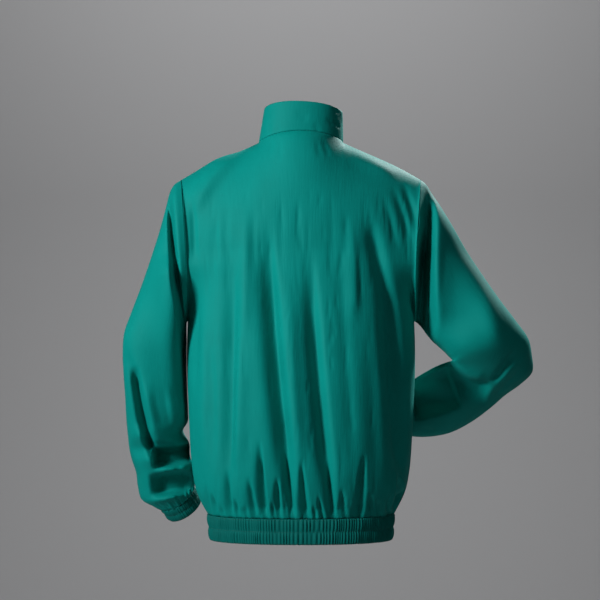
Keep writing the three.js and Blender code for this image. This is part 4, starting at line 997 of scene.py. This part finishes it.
hemNormals = gridNormals(hemOuter, False, hemOuter * np.array([1, 1, 0]))
hemDirections = np.gradient(hemOuter, axis=1)
hemRows = [round(along * (hem["rows"] - 1)) for along in stitchRows["bandAlong"]]
hemStitches = stitches("hemStitches", *(
    np.concatenate([grid[row, stitchPicks["band"]] for row in hemRows])
    for grid in (hemOuter, hemDirections, hemNormals)))
for outer, word in zip(cuffGrids, ("Left", "Right")):
    normals = gridNormals(outer, True, outer - outer.mean(1, keepdims=True))
    directions = np.roll(outer, -1, 1) - np.roll(outer, 1, 1)
    stitches("cuffStitches" + word, *(
        grid[len(outer) // 2, stitchPicks["cuff"]] for grid in (outer, directions, normals)))
for grid, word in zip(frontGrids, ("Left", "Right")):
    column = np.argmin(np.abs(np.abs(grid[-1, :, 0]) - stitchRows["besideZip"]))
    normals = gridNormals(grid, False, np.array([0, -1, 0]))
    line = (grid[:, column], np.gradient(grid[:, column], axis=0), normals[:, column])
    stitches("frontStitches" + word, *(part[stitchPicks["front"]] for part in line))
print("stitches made")

# Camera: behind the jacket, level, at the photograph's distance
camera = {"distance": 4.2, "height": -0.264, "x": 0.0017, "lens": 150}
cameraData = bpy.data.cameras.new("camera")
cameraData.lens = camera["lens"]
cameraObject = bpy.data.objects.new("camera", cameraData)
cameraObject.location = (camera["x"], camera["distance"], camera["height"])
cameraObject.rotation_euler = (np.pi / 2, 0, np.pi)
bpy.context.scene.collection.objects.link(cameraObject)
bpy.context.scene.camera = cameraObject

# Floor and backdrop: a level floor that curves up into a wall
backdrop = {"floorZ": -1.42, "wallY": -6.5, "halfWidth": 12, "frontY": 7, "wallTop": 6, "bend": 1.6,
            "bendPoints": 24, "colour": (0.62, 0.62, 0.63, 1), "roughness": 0.9}


# The backdrop's mesh: a profile of the floor's front edge, a quarter circle and the wall's top, drawn
# out to both sides.
def sweepBackdrop():
    turn = np.linspace(0, np.pi / 2, backdrop["bendPoints"])
    bend, wallY, floorZ = backdrop["bend"], backdrop["wallY"], backdrop["floorZ"]
    y = np.concatenate([[backdrop["frontY"]], wallY + bend - bend * np.sin(turn), [wallY]])
    z = np.concatenate([[floorZ], floorZ + bend - bend * np.cos(turn), [backdrop["wallTop"]]])
    x = np.array([-1, 1]) * backdrop["halfWidth"]
    grid = np.stack([np.broadcast_to(x[None, :], (len(y), 2)), np.repeat(y[:, None], 2, 1),
                     np.repeat(z[:, None], 2, 1)], -1)
    row = np.arange(len(y) - 1) * 2
    faces = np.stack([row, row + 1, row + 3, row + 2], 1)
    mesh = bpy.data.meshes.new("floor")
    mesh.from_pydata(grid.reshape(-1, 3), [], faces.tolist())
    mesh.polygons.foreach_set("use_smooth", np.ones(len(faces), bool))
    material, tree = newMaterial("paleFloor")
    setInputs(tree, tree.nodes["Principled BSDF"],
              {"Base Color": backdrop["colour"], "Roughness": backdrop["roughness"]})
    mesh.materials.append(material)
    floor = bpy.data.objects.new("floor", mesh)
    bpy.context.scene.collection.objects.link(floor)


sweepBackdrop()

# Lights: a soft key from the left of the view, a pale rim from the front on the right, which also
# lights the hidden side, a low fill from above, and one for the wall
jacketCentre, wallCentre = (0, 0, -0.22), (0, -6.5, -0.4)
lamps = {
    "key": {"at": (2.8, 2.35, 0.95), "to": jacketCentre, "size": 0.9, "power": 7.4, "spread": 40},
    "rim": {"at": (-1.3, -2.2, 1.5), "to": jacketCentre, "size": 0.5, "power": 10, "spread": 50},
    "fill": {"at": (-1.7, 2.6, 3.0), "to": jacketCentre, "size": 1.5, "power": 1.3, "spread": 50},
    "wall": {"at": (0.0, -4.0, 3.0), "to": wallCentre, "size": 2.0, "power": 45, "spread": 140},
}
studio = {"colour": (0.75, 0.78, 0.8, 1), "strength": 0.03}
for name, lamp in lamps.items():
    light = bpy.data.lights.new(name, "AREA")
    light.shape = "SQUARE"
    light.size = lamp["size"]
    light.energy = lamp["power"]
    light.spread = np.radians(lamp["spread"])
    lightObject = bpy.data.objects.new(name, light)
    lightObject.location = lamp["at"]
    aim = Vector(lamp["to"]) - Vector(lamp["at"])
    lightObject.rotation_euler = aim.to_track_quat("-Z", "Y").to_euler()
    bpy.context.scene.collection.objects.link(lightObject)
world = bpy.data.worlds.new("studio")
world.use_nodes = True
setInputs(world.node_tree, world.node_tree.nodes["Background"],
          {"Color": studio["colour"], "Strength": studio["strength"]})
bpy.context.scene.world = world
bpy.context.scene.view_settings.view_transform = "Standard"
print("stage, camera and lights made")
